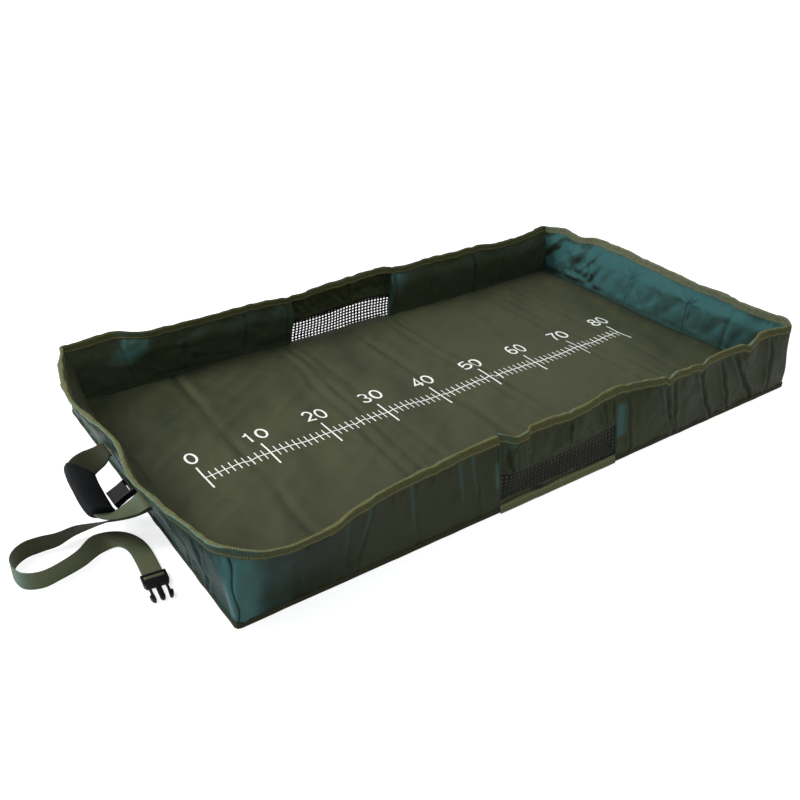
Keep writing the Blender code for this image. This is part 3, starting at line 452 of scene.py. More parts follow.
def plastic_material():
    look = Look("buckle_plastic", PLASTIC_BLACK, 0.28, 0.14)
    look.set("Roughness", look.noise(60.0, 3.0, 0.6) * 0.2 + 0.18)
    look.bump(look.noise(900.0, 2.0, 0.5), 0.12, 0.0002)
    return look.mat


def rubber_material():
    look = Look("neoprene", GRIP_BLACK, 0.62, 0.06)
    look.set("Base Color", look.mix(look.noise(40.0, 3.0, 0.6), *GRIP_TONES))
    look.bump(look.texture("Voronoi", "Distance", {"Scale": 1400.0}), 0.25, 0.0003)
    look.sheen(0.02, 0.5, SHEEN_GREY)
    return look.mat


def net_material():
    look = Look("net", NET_BLACK, 0.5, 0.06)
    twist = look.noise(700.0, 2.0, 0.5)
    look.set("Base Color", look.mix(twist, *NET_TONES))
    look.bump(twist, 0.6, 0.0005)
    return look.mat


def print_material():
    """Screen print: nearly even, a little thin where the weave shows through."""
    look = Look("ruler_print", PRINT_WHITE, 0.5)
    thin = (look.noise(350.0, 3.0, 0.7) - 0.55).held()
    look.set("Base Color", look.mix((thin * 0.8).held(), PRINT_WHITE, PRINT_WORN))
    return look.mat


# Meshes

# The nylon is two-coloured, but its teal is painted as a sheen on what faces this way at rest, the key lamp's side,
# with painted highlight where it tilts up and painted shade where it tilts down
TEAL_WAY = Vector((-1.0, -0.12, 0.30)).normalized()
TILT_WAY = Vector((0.0, 0.45, 0.90)).normalized()
TILT_MEAN = 0.05
CLOTH_QUALITY = 5
CLOTH_FRAMES = 20
CLOTH_MASS = 0.2
CLOTH_STIFFNESS = 15.0
CLOTH_BENDING = 0.02
CLOTH_SLIP = 0.0025


def tuples(rows):
    return [tuple(row) for row in rows.tolist()]


def ring_faces(m, n):
    """Quads between m rings that lie one after the other, n points in each."""
    i, j = np.arange(m - 1)[:, None] * n, np.arange(n)[None, :]
    k = (j + 1) % n
    return tuples(np.stack([i + j, i + k, i + n + k, i + n + j], -1).reshape(-1, 4))


def grid_faces(m, n, start=0):
    i, j = np.arange(m - 1)[:, None] * n, np.arange(n - 1)[None, :]
    return tuples(np.stack([i + j, i + n + j, i + n + j + 1, i + j + 1], -1).reshape(-1, 4) + start)


def skins(outer, inner=None):
    """Values round two skins: along the outer one, and back along the inner one."""
    return np.concatenate([outer, (outer if inner is None else inner)[:, ::-1]], 1)


def ring_object(name, rings, mat, attributes):
    """A closed solid from rings of points: an array of rings, points in a ring, and three numbers each."""
    m, n = rings.shape[:2]
    faces = ring_faces(m, n)
    for start in (0, (m - 1) * n):
        for a in range(n // 2 - 1):
            faces.append((start + a, start + a + 1, start + n - 2 - a, start + n - 1 - a))
    return make_object(name, rings.reshape(-1, 3), faces, mat, attributes)


def make_object(name, verts, faces, mat, attributes, angle=SMOOTH_ANGLE):
    mesh = bpy.data.meshes.new(name)
    mesh.from_pydata(tuples(np.asarray(verts, float)), [], faces)
    bm = bmesh.new()
    bm.from_mesh(mesh)
    bmesh.ops.recalc_face_normals(bm, faces=bm.faces)
    bm.to_mesh(mesh)
    bm.free()
    mesh.shade_smooth()
    mesh.set_sharp_from_angle(angle=angle)
    obj = link_object(name, mesh, mat)
    for key, values in attributes.items():
        set_attribute(obj, key, values)
    return obj


def link_object(name, data, mat=None):
    if mat:
        data.materials.append(mat)
    obj = bpy.data.objects.new(name, data)
    bpy.context.scene.collection.objects.link(obj)
    return obj


def set_attribute(obj, name, values):
    layer = obj.data.attributes.get(name) or obj.data.attributes.new(name, "FLOAT", "POINT")
    layer.data.foreach_set("value", np.asarray(values, np.float32).reshape(-1))


def attribute_values(obj, name):
    out = np.empty(len(obj.data.vertices), np.float32)
    obj.data.attributes[name].data.foreach_get("value", out)
    return out


def read_points(collection, key):
    out = np.empty(len(collection) * 3, np.float32)
    collection.foreach_get(key, out)
    return out.reshape(-1, 3)


def place_points(mesh, points):
    mesh.vertices.foreach_set("co", points.astype(np.float32).reshape(-1))
    mesh.update()


def push_out(obj, amount):
    """Moves each vertex along its normal."""
    mesh = obj.data
    place_points(mesh, read_points(mesh.vertices, "co") + read_points(mesh.vertex_normals, "vector") * amount[:, None])


def tint_by_facing(obj, low, high, most=1.0, tilt=0.0, extra=0.0):
    """Sets the mesh's tint by how far each vertex faces the way that shows the second colour, and by its tilt: painted
    sheen and highlight, with painted shade where it tilts away.
    """
    ways = read_points(obj.data.vertex_normals, "vector")
    tint = most * step_up(ways @ np.array(TEAL_WAY, np.float32), low, high)
    if tilt:
        tint = tint * np.clip(0.62 + tilt * (ways @ np.array(TILT_WAY, np.float32) - TILT_MEAN), 0.08, 1.25)
    set_attribute(obj, "tint", np.clip(tint + extra, 0, 1.2))


def settle(obj, pinned, reach_out, reach_in, shrink, pressure):
    """Cloth that is a little too large swells and wrinkles between its pinned points, and each move is capped."""
    mesh, scene = obj.data, bpy.context.scene
    rest, ways = read_points(mesh.vertices, "co"), read_points(mesh.vertex_normals, "vector")
    group = obj.vertex_groups.new(name="pinned")
    group.add(np.nonzero(pinned)[0].tolist(), 1.0, "REPLACE")
    cloth = obj.modifiers.new("cloth", "CLOTH")
    values = cloth.settings
    values.vertex_group_mass = "pinned"
    values.quality = CLOTH_QUALITY
    values.mass = CLOTH_MASS
    values.tension_stiffness = values.compression_stiffness = CLOTH_STIFFNESS
    values.bending_stiffness = CLOTH_BENDING
    values.use_pressure = True
    values.uniform_pressure_force = pressure
    values.shrink_min = shrink
    values.effector_weights.gravity = 0.0
    cloth.collision_settings.use_collision = False
    cloth.collision_settings.use_self_collision = False
    cloth.point_cache.frame_start, cloth.point_cache.frame_end = 1, CLOTH_FRAMES
    for frame in range(1, CLOTH_FRAMES + 1):
        scene.frame_set(frame)
    settled = obj.evaluated_get(bpy.context.evaluated_depsgraph_get())
    move = read_points(settled.to_mesh().vertices, "co") - rest
    settled.to_mesh_clear()
    obj.modifiers.remove(cloth)
    obj.vertex_groups.clear()
    scene.frame_set(1)
    out = (move * ways).sum(1)
    side = move - out[:, None] * ways
    capped = np.where(out > 0, reach_out * np.tanh(out / reach_out), reach_in * np.tanh(out / reach_in))
    slip = np.linalg.norm(side, axis=1)
    side *= (CLOTH_SLIP * np.tanh(slip / CLOTH_SLIP) / np.maximum(slip, 1e-9))[:, None]
    place_points(mesh, rest + capped[:, None] * ways + side)


def subdivide(obj):
    """One subdivision, applied."""
    bm = bmesh.new()
    bm.from_mesh(obj.data)
    layer = bm.edges.layers.float.get("crease_edge") or bm.edges.layers.float.new("crease_edge")
    for edge in bm.edges:
        if len(edge.link_faces) == 2 and edge.calc_face_angle() > SMOOTH_ANGLE:
            edge[layer] = 1.0
    bm.to_mesh(obj.data)
    bm.free()
    finer = obj.modifiers.new("finer", "SUBSURF")
    finer.levels = finer.render_levels = 1
    made = bpy.data.meshes.new_from_object(obj.evaluated_get(bpy.context.evaluated_depsgraph_get()))
    obj.modifiers.remove(finer)
    obj.data = made
    made.shade_smooth()
    made.set_sharp_from_angle(angle=SMOOTH_ANGLE)


# Walls. Along a tray's three walls, u runs from one fold line round to the other, in the tray's own frame:
# its end wall lies towards -X. The tail tray is the same frame turned half round.

# Kinks of the rim: place, drop and half width
FRONT_DIPS = (
    (-0.098, 0.0035, 0.010), (0.002, 0.0020, 0.005), (0.190, 0.0060, 0.006), (0.206, -0.0016, 0.006),
    (0.264, 0.0045, 0.009), (0.281, -0.0018, 0.006), (0.374, 0.0055, 0.008), (0.392, -0.0016, 0.007),
    (-0.330, 0.0020, 0.014), (-0.222, 0.0014, 0.008), (0.120, 0.0014, 0.008),
)
BACK_DIPS = (
    (-0.330, 0.0030, 0.016), (-0.205, 0.0016, 0.008), (-0.128, 0.0022, 0.007), (0.020, 0.0030, 0.008),
    (0.098, 0.0020, 0.006), (0.290, 0.0024, 0.008), (-0.262, -0.0012, 0.012), (0.185, 0.0014, 0.008),
)
END_DIPS = ((0.05, 0.0016, 0.008), (-0.09, 0.0016, 0.008), (-0.18, 0.0014, 0.012), (0.17, 0.0012, 0.010))
# Creases: place at the top, place at the bottom, depth and half width
FRONT_CREASES = (
    (-0.362, -0.351, 0.0009, 0.0022), (-0.321, -0.344, 0.0012, 0.0022), (-0.261, -0.250, 0.0008, 0.0025),
    (-0.184, -0.174, 0.0004, 0.0019), (-0.162, -0.150, 0.0011, 0.0017), (0.176, 0.227, 0.0022, 0.0025),
    (0.196, 0.231, 0.0020, 0.0025), (0.255, 0.310, 0.0030, 0.0025), (0.311, 0.353, 0.0026, 0.0025),
    (0.335, 0.414, 0.0030, 0.0031), (-0.440, -0.420, 0.0014, 0.005), (0.445, 0.452, 0.0018, 0.0031),
    (0.122, 0.128, 0.0020, 0.0019),
)
BACK_CREASES = (
    (-0.311, -0.321, 0.0022, 0.0025), (-0.203, -0.210, 0.0030, 0.0025), (-0.128, -0.126, 0.0030, 0.0025),
    (0.184, 0.186, 0.0016, 0.0031), (0.288, 0.297, 0.0044, 0.0025), (0.356, 0.360, 0.0020, 0.0025),
    (0.475, 0.470, 0.0030, 0.0025), (-0.410, -0.400, 0.0018, 0.0031), (0.108, 0.104, 0.0024, 0.0019),
)
END_CREASES = {
    -1: (
        (-0.175, -0.165, 0.0020, 0.0037), (0.150, 0.140, 0.0020, 0.0037), (0.215, 0.205, 0.0022, 0.0031),
        (-0.235, -0.215, 0.0020, 0.0031), (0.010, 0.004, 0.0014, 0.005),
    ),
    1: (
        (0.052, 0.050, 0.0012, 0.0025), (-0.092, -0.086, 0.0012, 0.0025), (0.150, 0.170, 0.0024, 0.0037),
        (-0.180, -0.165, 0.0022, 0.0037), (0.215, 0.195, 0.0022, 0.0031), (-0.020, -0.028, 0.0016, 0.0037),
    ),
}
# Only creases from this depth on hold the cloth as it settles
HELD_DEPTH = 0.0026
# The patches of the webbing's sewn ends, and the darts that they pull into the far lining
PATCH_Z = (0.036, 0.064)
END_PATCHES = {-1: ((0.045, 0.087), (-0.044, -0.016), (-0.095, -0.053)), 1: ((0.031, 0.073), (-0.109, -0.067))}
PATCH_EDGE = 0.006
DART_PLACES = (0.052, -0.088)
DART_HALF = 0.0048
DART_TOP_Z = 0.082
PLEAT_X = 0.109
PLEAT_STEP = 0.0056
# Facets of each tray's walls, inside and outside, by tray and wall: depth, gap, angle and stretch
INNER_FACETS = {
    (-1, 0): ((0.0008, 0.034, 0.7, 1.6),), (-1, -1): ((0.0006, 0.040, 0.4, 1.6),),
    (-1, 1): ((0.0032, 0.032, 0.75, 1.8), (0.0015, 0.018, -0.5, 1.7)),
    (1, 0): ((0.0010, 0.042, 0.5, 1.6), (0.0007, 0.018, -0.8, 1.9)), (1, -1): ((0.0008, 0.040, 0.6, 1.6),),
    (1, 1): ((0.0012, 0.036, -0.6, 1.7), (0.0006, 0.020, 0.6, 1.6)),
}
OUTER_FACETS = {
    (-1, 0): ((0.0010, 0.044, 1.0, 1.6), (0.0004, 0.018, -0.4, 1.5)), (-1, -1): ((0.0005, 0.050, 1.2, 1.8),),
    (-1, 1): ((0.0010, 0.040, 0.9, 1.7), (0.0004, 0.018, -0.7, 1.5)),
    (1, 0): ((0.0010, 0.042, 0.9, 1.7), (0.0005, 0.020, -0.8, 1.5)), (1, -1): ((0.0007, 0.036, 1.3, 1.8),),
    (1, 1): ((0.0010, 0.040, 1.1, 1.7), (0.0004, 0.018, -0.5, 1.5)),
}
# The tail wall's lining is crumpled most at its two ends
TAIL_BACK_FACETS = ((0.0040, 0.020, -0.9, 2.8), (0.0024, 0.014, 0.6, 1.8))
TAIL_FRONT_FACETS = ((0.0034, 0.034, -0.7, 1.8), (0.0010, 0.016, 0.5, 1.8))
WALL_ROWS = 28
WALL_STEP = 0.0042
EDGE_IN = 0.0006
PINCH_LOW_Z = 0.078
RIM_THICK = 0.0032
TAPE_DROP = 0.0115
TAPE_THICK = 0.0012
TAPE_STEP = 0.004
FOOT_STEP = 0.005
FOOT_HIGH = 0.0080


def tray_run(end):
    return LENGTH / 2 - abs(FOLD_X[end])


def tray_total(end):
    return 2 * tray_run(end) + WIDTH


def flat_path(u, inset, run):
    x = np.where(u < run, -LENGTH / 2 + run - u, np.where(u < run + WIDTH, -LENGTH / 2, -LENGTH / 2 + u - run - WIDTH))
    y = np.clip(u - run - WIDTH / 2, inset - WIDTH / 2, WIDTH / 2 - inset)
    return np.stack([np.maximum(x, inset - LENGTH / 2), y], -1)


def round_path(u, inset, run, window):
    """The path with its corners rounded: the mean over a window of the way."""
    shares = np.linspace(-1, 1, 13)
    weights = np.ones(13)
    weights[[0, -1]] = 0.5
    total = sum(w * flat_path(u + s * window, inset, run) for s, w in zip(shares, weights))
    return total / weights.sum()


def outward_at(u, run, window):
    step = 0.0005
    run_way = round_path(u + step, 0.0, run, window) - round_path(u - step, 0.0, run, window)
    size = np.linalg.norm(run_way, axis=-1, keepdims=True)
    t = run_way / np.maximum(size, 1e-9)
    return np.stack([-t[..., 1], t[..., 0]], -1)


def lean_table(end):
    """Rows of u and the rim's outward shift in the tray's own frame."""
    run, fold = tray_run(end), FOLD_X[end]
    ends = HEAD_LEAN_SHARES if end < 0 else TAIL_LEAN_SHARES
    rows = [(run + WIDTH / 2 - share * WIDTH * end, -lean * HEIGHT, 0.0) for share, lean in ends if abs(share) < 0.5]
    for side in (-1, 1):
        shares, leans = zip(*(FRONT_LEAN_SHARES if side == end else BACK_LEAN_SHARES))
        beyond = [a * LENGTH for a in shares if end * (a * LENGTH - fold) > 0.002]
        for x in beyond + [fold, fold - end * 0.03]:
            lean = float(smooth_table(shares, leans, np.array(x / LENGTH)))
            u = run + WIDTH / 2 + side * (WIDTH / 2 + LENGTH / 2 - end * x)
            cross = dict(ends)[-0.5 * end * side] if abs(x) == LENGTH / 2 else 0.0
            rows.append((u, -cross * HEIGHT, side * lean * HEIGHT))
    return np.array(sorted(rows))


def corner_window(end, u, rise):
    """Half the way over which a corner is rounded: sharp at the head tray's back corner, softer at the others."""
    first = u < tray_run(end) + WIDTH / 2
    high = np.clip(rise, 0, 1)
    if end < 0:
        return np.where(first, 0.006 + 0.026 * high, 0.0055)
    return 0.006 + 0.004 * high


def wall_point(end, u, z, inset, push, tape=False):
    """World points of a tray's wall: inset from the outside face, pushed outwards. A tape follows the outside face."""
    run, rows = tray_run(end), lean_table(end)
    lean = np.stack([smooth_table(rows[:, 0], rows[:, k], u) for k in (1, 2)], -1)
    rise = np.maximum(0, (z - FLOOR_TOP_Z) / (HEIGHT - FLOOR_TOP_Z))
    window = corner_window(end, u, rise)
    path = round_path(u, 0 * inset if tape else inset, run, window)
    push = push - inset if tape else push
    place = path + lean * rise[..., None] + outward_at(u, run, window) * push[..., None]
    return np.concatenate([place * -end, (z + rim_dip(end, u) * np.minimum(rise, 1))[..., None]], -1)


def dips_at(dips, place):
    return -sum(drop * bump(place, middle, half) for middle, drop, half in dips)


def side_dip(side, x):
    """How far the rim of the front or back wall stands above its even height."""
    return dips_at(FRONT_DIPS if side < 0 else BACK_DIPS, x)


def by_wall(side, front, back, across):
    """Values of the front wall where side is -1, of the back wall where it is 1, and of the end wall elsewhere."""
    return np.where(side == -1, front, np.where(side == 1, back, across))


def rim_dip(end, u):
    side, place = face_place(end, u)
    return by_wall(side, side_dip(-1, place), side_dip(1, place), dips_at(END_DIPS, place))


def face_place(end, u):
    """Which wall a station is on, -1 for the front, 1 for the back and 0 for the end, and its place along it."""
    run = tray_run(end)
    first = u < run
    last = u > run + WIDTH
    x = np.where(first, -LENGTH / 2 + run - u, -LENGTH / 2 + u - run - WIDTH) * -end
    y = (u - run - WIDTH / 2) * -end
    side = np.where(first, -1, np.where(last, 1, 0)) * -end
    return side, np.where(side == 0, y, x)


def crease_middle(crease, z):
    top, bottom = crease[:2]
    return bottom + (top - bottom) * z / HEIGHT


def crease_push(creases, place, z):
    out = np.zeros_like(z)
    rise = np.clip(z / HEIGHT, 0, 1)
    for top, bottom, depth, half in creases:
        d = place - (bottom + (top - bottom) * rise)
        out += depth * (0.45 * bump(np.abs(d), 2.6 * half, 1.6 * half) - bump(d, 0, half))
    return out


def patch_calm(end, side, place, z):
    """1 where a sewn-on patch holds the cloth flat, falling to 0 round it."""
    up = between(z, PATCH_Z[0] - PATCH_EDGE, *PATCH_Z, PATCH_Z[1] + PATCH_EDGE)
    rows = [between(place, low - PATCH_EDGE, low, high, high + PATCH_EDGE) * up for low, high in END_PATCHES[end]]
    return np.where(side == 0, np.max(rows, 0), 0)


def wall_low(inner):
    return FLOOR_TOP_Z if inner else WALL_FOOT_Z


def wall_push(end, u, z, inner):
    """How far the cloth stands out of its plane before it settles: puffed, with a little crumple to start folds."""
    side, place = face_place(end, u)
    low = wall_low(inner)
    swell = np.sin(math.pi * np.clip((z - low) / (WALL_TOP_Z - 0.008 - low), 0, 1)) ** 0.6
    seed = (3 if inner else 11) + (0 if end < 0 else 40)
    warp = 0.012 * noise(u / 0.06, z / 0.05, seed + 9)
    crumple = (
        0.0022 * folded(u + warp, z, 0.9, 0.130, 0.040, seed)
        + 0.0016 * folded(u, z + warp, -0.75, 0.090, 0.026, seed + 1)
        + 0.0008 * turned_noise(u + warp, z, 1.35, 0.060, 0.012, seed + 2)
    )
    out = swell * (0.0012 + crumple)
    return -out if inner else out * (1 - patch_calm(end, side, place, z))


def wall_folds(end, u, z, inner):
    """The facets of a tray's walls, gone at their sewn edges."""
    side, place = face_place(end, u)
    out = np.zeros_like(z)
    for number, ((tray, wall), rows) in enumerate((INNER_FACETS if inner else OUTER_FACETS).items()):
        if tray == end:
            out = out + np.where(side == wall, facet_sum(rows, 300 + 10 * number + inner, place, z), 0)
    if inner and end > 0:
        more = step_up(place, 0.10, 0.15) * facet_sum(TAIL_BACK_FACETS, 401, place, z)
        more = more + step_down(place, -0.24, -0.17) * facet_sum(TAIL_FRONT_FACETS, 411, place, z)
        out = out + np.where(side == 0, more, 0)
    low = wall_low(inner)
    fade = between(z, low, low + 0.010, 0.096, 0.105)
    return out * fade * (1 if inner else 1 - patch_calm(end, side, place, z))


def wall_creases(end, u, z, inner):
    """Sharp folds and gathers that come after the settling."""
    side, place = face_place(end, u)
    low = wall_low(inner)
    rise = np.clip((z - low) / (WALL_TOP_Z - 0.006 - low), 0, 1)
    edge = np.sin(math.pi * np.clip(rise, 0.03, 0.97)) ** 0.3 * step_down(z, 0.094, 0.104)
    at = place + 0.0030 * noise(z / 0.018, 0 * z + np.round(place * 40), 91)
    front, back, across = (crease_push(rows, at, z) for rows in (FRONT_CREASES, BACK_CREASES, END_CREASES[end]))
    out = by_wall(side, 1.1 * front, back, across) * edge
    out = out + 0.0010 * noise(u / 0.0052, z / 0.05, 95) * bump(rise, 0.90, 0.07) * step_down(z, 0.103, 0.107)
    out = out + 0.0005 * noise(u / 0.006, z / 0.04, 96) * bump(rise, 0.02, 0.10)
    if inner:
        return out + (np.where(side == 0, dart_push(place, z), 0) if end > 0 else 0)
    out = out - 0.0016 * bump(corner_seam(end, u, z), 0, 0.0022) * step_down(z, 0.100, 0.106)
    pleats = 0.0011 * np.sin(2 * math.pi * (z + 0.25 * (place - PLEAT_X)) / PLEAT_STEP) * pleat_zone(place, z)
    return out * (1 - patch_calm(end, side, place, z)) + np.where((side == -1) & (end > 0), pleats, 0)


def corner_seam(end, u, z):
    """How far a station is from the sewn seam that wanders down the nearest corner."""
    run = tray_run(end)
    near = np.where(np.abs(u - run) < np.abs(u - run - WIDTH), u - run, u - run - WIDTH)
    rise = np.clip(z / HEIGHT, 0, 1)
    return near + 0.0060 * np.sin(math.pi * rise) ** 2 + 0.0035 * np.sin(3 * math.pi * rise) - 0.0045 * rise


def dart_push(place, z):
    """Two sewn channels with short folds that fan out above them."""
    out = np.zeros_like(z)
    for middle in DART_PLACES:
        d = place - middle
        channel = 0.0006 * bump(d, 0, 0.5 * DART_HALF) - 0.0011 * bump(np.abs(d), 0.8 * DART_HALF, 0.0016)
        out += channel * step_down(z, DART_TOP_Z - 0.010, DART_TOP_Z)
        up = z - (DART_TOP_Z - 0.004)
        angle, far = np.arctan2(d, np.maximum(up, 1e-4)), np.hypot(d, up)
        fan = np.cos(angle * 9.0) * bump(far, 0.012, 0.010) * step_up(up, -0.004, 0.004)
        out += 0.0016 * fan - 0.0030 * bump(far, 0, 0.006)
    return out


def wall_thick(z):
    """The wall's thickness, which the rim's tape squeezes."""
    return WALL_THICK - (WALL_THICK - RIM_THICK) * step_up(z, PINCH_LOW_Z, WALL_TOP_Z - 0.006)


def held_points(end, u, z, inner):
    """Where the cloth is sewn down, so that it can't move as it settles."""
    side, place = face_place(end, u)
    run, total = tray_run(end), tray_total(end)
    held = (z > HEIGHT - TAPE_DROP) | (z < (FLOOR_TOP_Z - 0.002 if inner else 0.010))
    for wall, creases in ((-1, FRONT_CREASES), (1, BACK_CREASES), (0, END_CREASES[end])):
        for crease in creases:
            if crease[2] >= HELD_DEPTH:
                held |= (side == wall) & (np.abs(place - crease_middle(crease, z)) < WALL_STEP * 0.6)
    if not inner:
        held |= patch_calm(end, side, place, z) > 0.6
    elif end > 0:
        for middle in DART_PLACES:
            held |= (side == 0) & (np.abs(place - middle) < DART_HALF) & (z < DART_TOP_Z)
    corner = np.minimum(np.abs(u - run), np.abs(u - run - WIDTH)) < WALL_STEP * 0.6
    return held | corner | (u < WALL_STEP) | (u > total - WALL_STEP)


def crease_edges(low, high, place, z, off, half):
    """The lit edges of the front wall's creases whose tops lie between two places."""
    middles = [crease_middle(crease, z) for crease in FRONT_CREASES if low < crease[0] < high]
    return sum(bump(place, middle - off, half) for middle in middles) * step_up(z, 0.030, 0.080)


def wall_tint(end, u, z, inside):
    """Where more of the teal is painted, besides where the cloth faces its way: painted glints on the back lining,
    painted sheen round the near corner, and painted highlights on a streak, pleats and crease edges.
    """
    side, place = face_place(end, u)
    # Painted glints on the back lining's raised facets, high up
    back = lit_facets(place, z, 0.024, 0.75, 2.0, 451) * step_up(z, 0.045, 0.085)
    if end < 0:
        back = 0.03 + 0.50 * back * (bump(place, -0.375, 0.060) + 0.25)
        # Painted teal sheen round the corner beside the strap, and a painted highlight streak and crease edges on the
        # front wall
        mottle = 1 + 0.45 * facets(place, z, 0.030, 0.9, 1.7, 471) + 0.25 * facets(place, z, 0.014, -0.6, 1.8, 473)
        front = mottle * (0.36 * step_down(place, -0.500, -0.395) + 0.32 * step_down(place, -0.484, -0.458))
        front = front + 0.45 * bump(place, -0.1225, 0.0030) * between(z, 0.034, 0.046, 0.074, 0.086)
        front = front + 0.30 * crease_edges(-0.37, -0.15, place, z, 0.0026, 0.0026)
        across = mottle * (0.36 * step_down(place, -0.285, -0.150) + 0.32 * step_down(place, -0.284, -0.270))
    else:
        # Painted glints, and a painted teal highlight beside the fold
        back = 0.03 + 0.125 * back + 0.30 * bump(place, 0.114, 0.010) * step_up(z, 0.050, 0.085)
        # Painted highlights on the pleats beside the net, and on the creases' edges
        front = 0.55 * pleat_zone(place, z) + 0.216 * crease_edges(0.13, 0.5, place, z, 0.0030, 0.0036)
        across = 0 * z
    outer = np.where(inside < 0.5, by_wall(side, front, 0, across), 0)
    return np.where(inside > 0.5, by_wall(side, 0, back, 0), outer)


def wall_shade(end, u, z, inside):
    """Where the cloth is darker: past the corner beside the strap, and on some facets of the far lining."""
    side, place = face_place(end, u)
    if end > 0:
        dark = lit_facets(place, z, 0.050, -0.75, 2.2, 461) * (0.15 + 0.28 * step_down(place, -0.23, -0.12))
        dark = dark + 0.22 * lit_facets(place, z, 0.022, -0.9, 2.8, 463) * step_up(place, 0.11, 0.17)
        return np.where((side == 0) & (inside > 0.5), dark, 0)
    front = 0.52 * between(place, -0.485, -0.458, -0.42, -0.30)
    across = (0.74 - 0.44 * step_up(place, -0.20, -0.12)) * (0.15 + 0.85 * step_up(place, -0.286, -0.270))
    return np.where(inside > 0.5, 0, by_wall(side, front, 0, across))


def pleat_zone(place, z):
    return bump(place, PLEAT_X, 0.009) * between(z, 0.036, 0.046, 0.084, 0.094)


def tray_walls(end, mat):
    """Both skins of a tray's three walls round their foam, as one closed padded form."""
    total, tray = tray_total(end), END_NAMES[end]
    u = np.linspace(EDGE_IN, total - EDGE_IN, int(total / WALL_STEP))
    z = WALL_FOOT_Z + (WALL_TOP_Z - WALL_FOOT_Z) * np.linspace(0, 1, WALL_ROWS)
    uu, zz = np.meshgrid(u, z, indexing="ij")
    outer = wall_point(end, uu, zz, 0 * zz, wall_push(end, uu, zz, False))
    inner = wall_point(end, uu, zz, wall_thick(zz), wall_push(end, uu, zz, True))
    side, place = face_place(end, uu)
    first, second = (place - middle for middle in DART_PLACES)
    to_dart = np.where(np.abs(first) < np.abs(second), first, second)
    sewn = (side == 0) & (end > 0) & (zz < DART_TOP_Z + 0.002) & (np.abs(to_dart) < 0.02)
    far = np.full_like(uu, FAR_AWAY)
    attributes = {
        "seam": skins(corner_seam(end, uu, zz), far), "dart": skins(far, np.where(sewn, to_dart, FAR_AWAY)),
        "run": skins(uu), "high": skins(zz), "inside": skins(0 * uu, 0 * uu + 1),
    }
    obj = ring_object(f"{tray}_walls", skins(outer, inner), mat, attributes)
    held = skins(held_points(end, uu, zz, False), held_points(end, uu, zz, True))
    settle(obj, held.reshape(-1), 0.0060, 0.0045, -0.08, 1.2)
    subdivide(obj)
    u, z, inside = (attribute_values(obj, key) for key in ("run", "high", "inside"))
    crease, fold = (np.where(inside > 0.5, f(end, u, z, True), f(end, u, z, False)) for f in (wall_creases, wall_folds))
    # The tint sees the creases at a third of their depth, which keeps it soft
    push_out(obj, fold + 0.35 * crease)
    tint_by_facing(obj, 0.30, 0.92, tilt=1.9 if end > 0 else 0.7, extra=wall_tint(end, u, z, inside))
    set_attribute(obj, "shade", wall_shade(end, u, z, inside))
    push_out(obj, 0.65 * crease)
    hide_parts(*(f"{tray}_{w}_wall_{l}" for w in ("front", "end", "back") for l in ("outer", "foam", "lining")))
    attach(obj, f"{tray}_tray")


# Tapes


def rim_style(end, u):
    """How much painted shade lies on the tape's top, on the back wall; how much painted light on its inner side, on the
    tail's end wall; and how much wider its top band is, on the head's end wall; along a tray's rim.
    """
    first, last = tray_run(end), tray_run(end) + WIDTH
    on_end = between(u, first - 0.004, first + 0.010, last - 0.010, last + 0.004)
    if end < 0:
        return step_up(u, last, last + 0.012), 0 * u, 0.0016 * on_end
    return step_down(u, first - 0.012, first), on_end, 0 * u


def rim_tape(name, points_at, u, mat, style):
    """A tape folded over the rim. points_at gives world points for u, z, inset and push arrays."""
    half = (RIM_THICK + 0.0006) / 2
    turn = np.linspace(0, math.pi, 9)
    depth = np.concatenate([[0], half - half * np.cos(turn), [2 * half]])
    high = HEIGHT + 0.0006 - half + half * np.sin(turn)
    high = np.concatenate([[HEIGHT - TAPE_DROP], high, [HEIGHT - TAPE_DROP]])
    way = np.concatenate([[0], np.cumsum(np.hypot(np.diff(depth), np.diff(high)))])
    uu, dd = np.meshgrid(u, depth, indexing="ij")
    wave = 0.0009 * noise(uu / 0.030, 0 * uu, 71) + 0.0006 * noise(uu / 0.009, dd / 0.02, 72)
    wave = wave + 0.0008 * (np.abs(noise(uu / 0.024, dd / 0.008, 75)) - 0.4)
    lift = 0.0009 * noise(uu / 0.040, 0 * uu, 73) + 0.0008 * noise(uu / 0.010, 0 * uu, 74)
    lift = lift - 0.0006 - 0.0008 * (ridge(noise(uu / 0.050, 0 * uu, 76), 8) - 0.2)
    swell = np.clip(wave + 0.0004, 0, 0.0018)
    turned = math.pi * dd / (2 * half)
    layers = []
    for inward in (0, TAPE_THICK):
        inset = dd + (inward - 0.0010 - swell) * np.cos(turned)
        layers.append(points_at(uu, high - inward * np.sin(turned) + lift, inset, 0 * uu))
    cross = skins(way - way[-1] / 2 + 0 * uu)
    # Painted shade on the top and painted light on the inner side, where the style says
    top_shade, side_light, wide = (s[:, None] + 0 * cross for s in style)
    attributes = {"along": skins(uu), "across": cross, "top_shade": top_shade, "side_light": side_light * (cross > 0), "wide": wide}
    obj = ring_object(name, skins(*layers), mat, attributes)
    tint_by_facing(obj, 0.25, 0.90)
    return obj


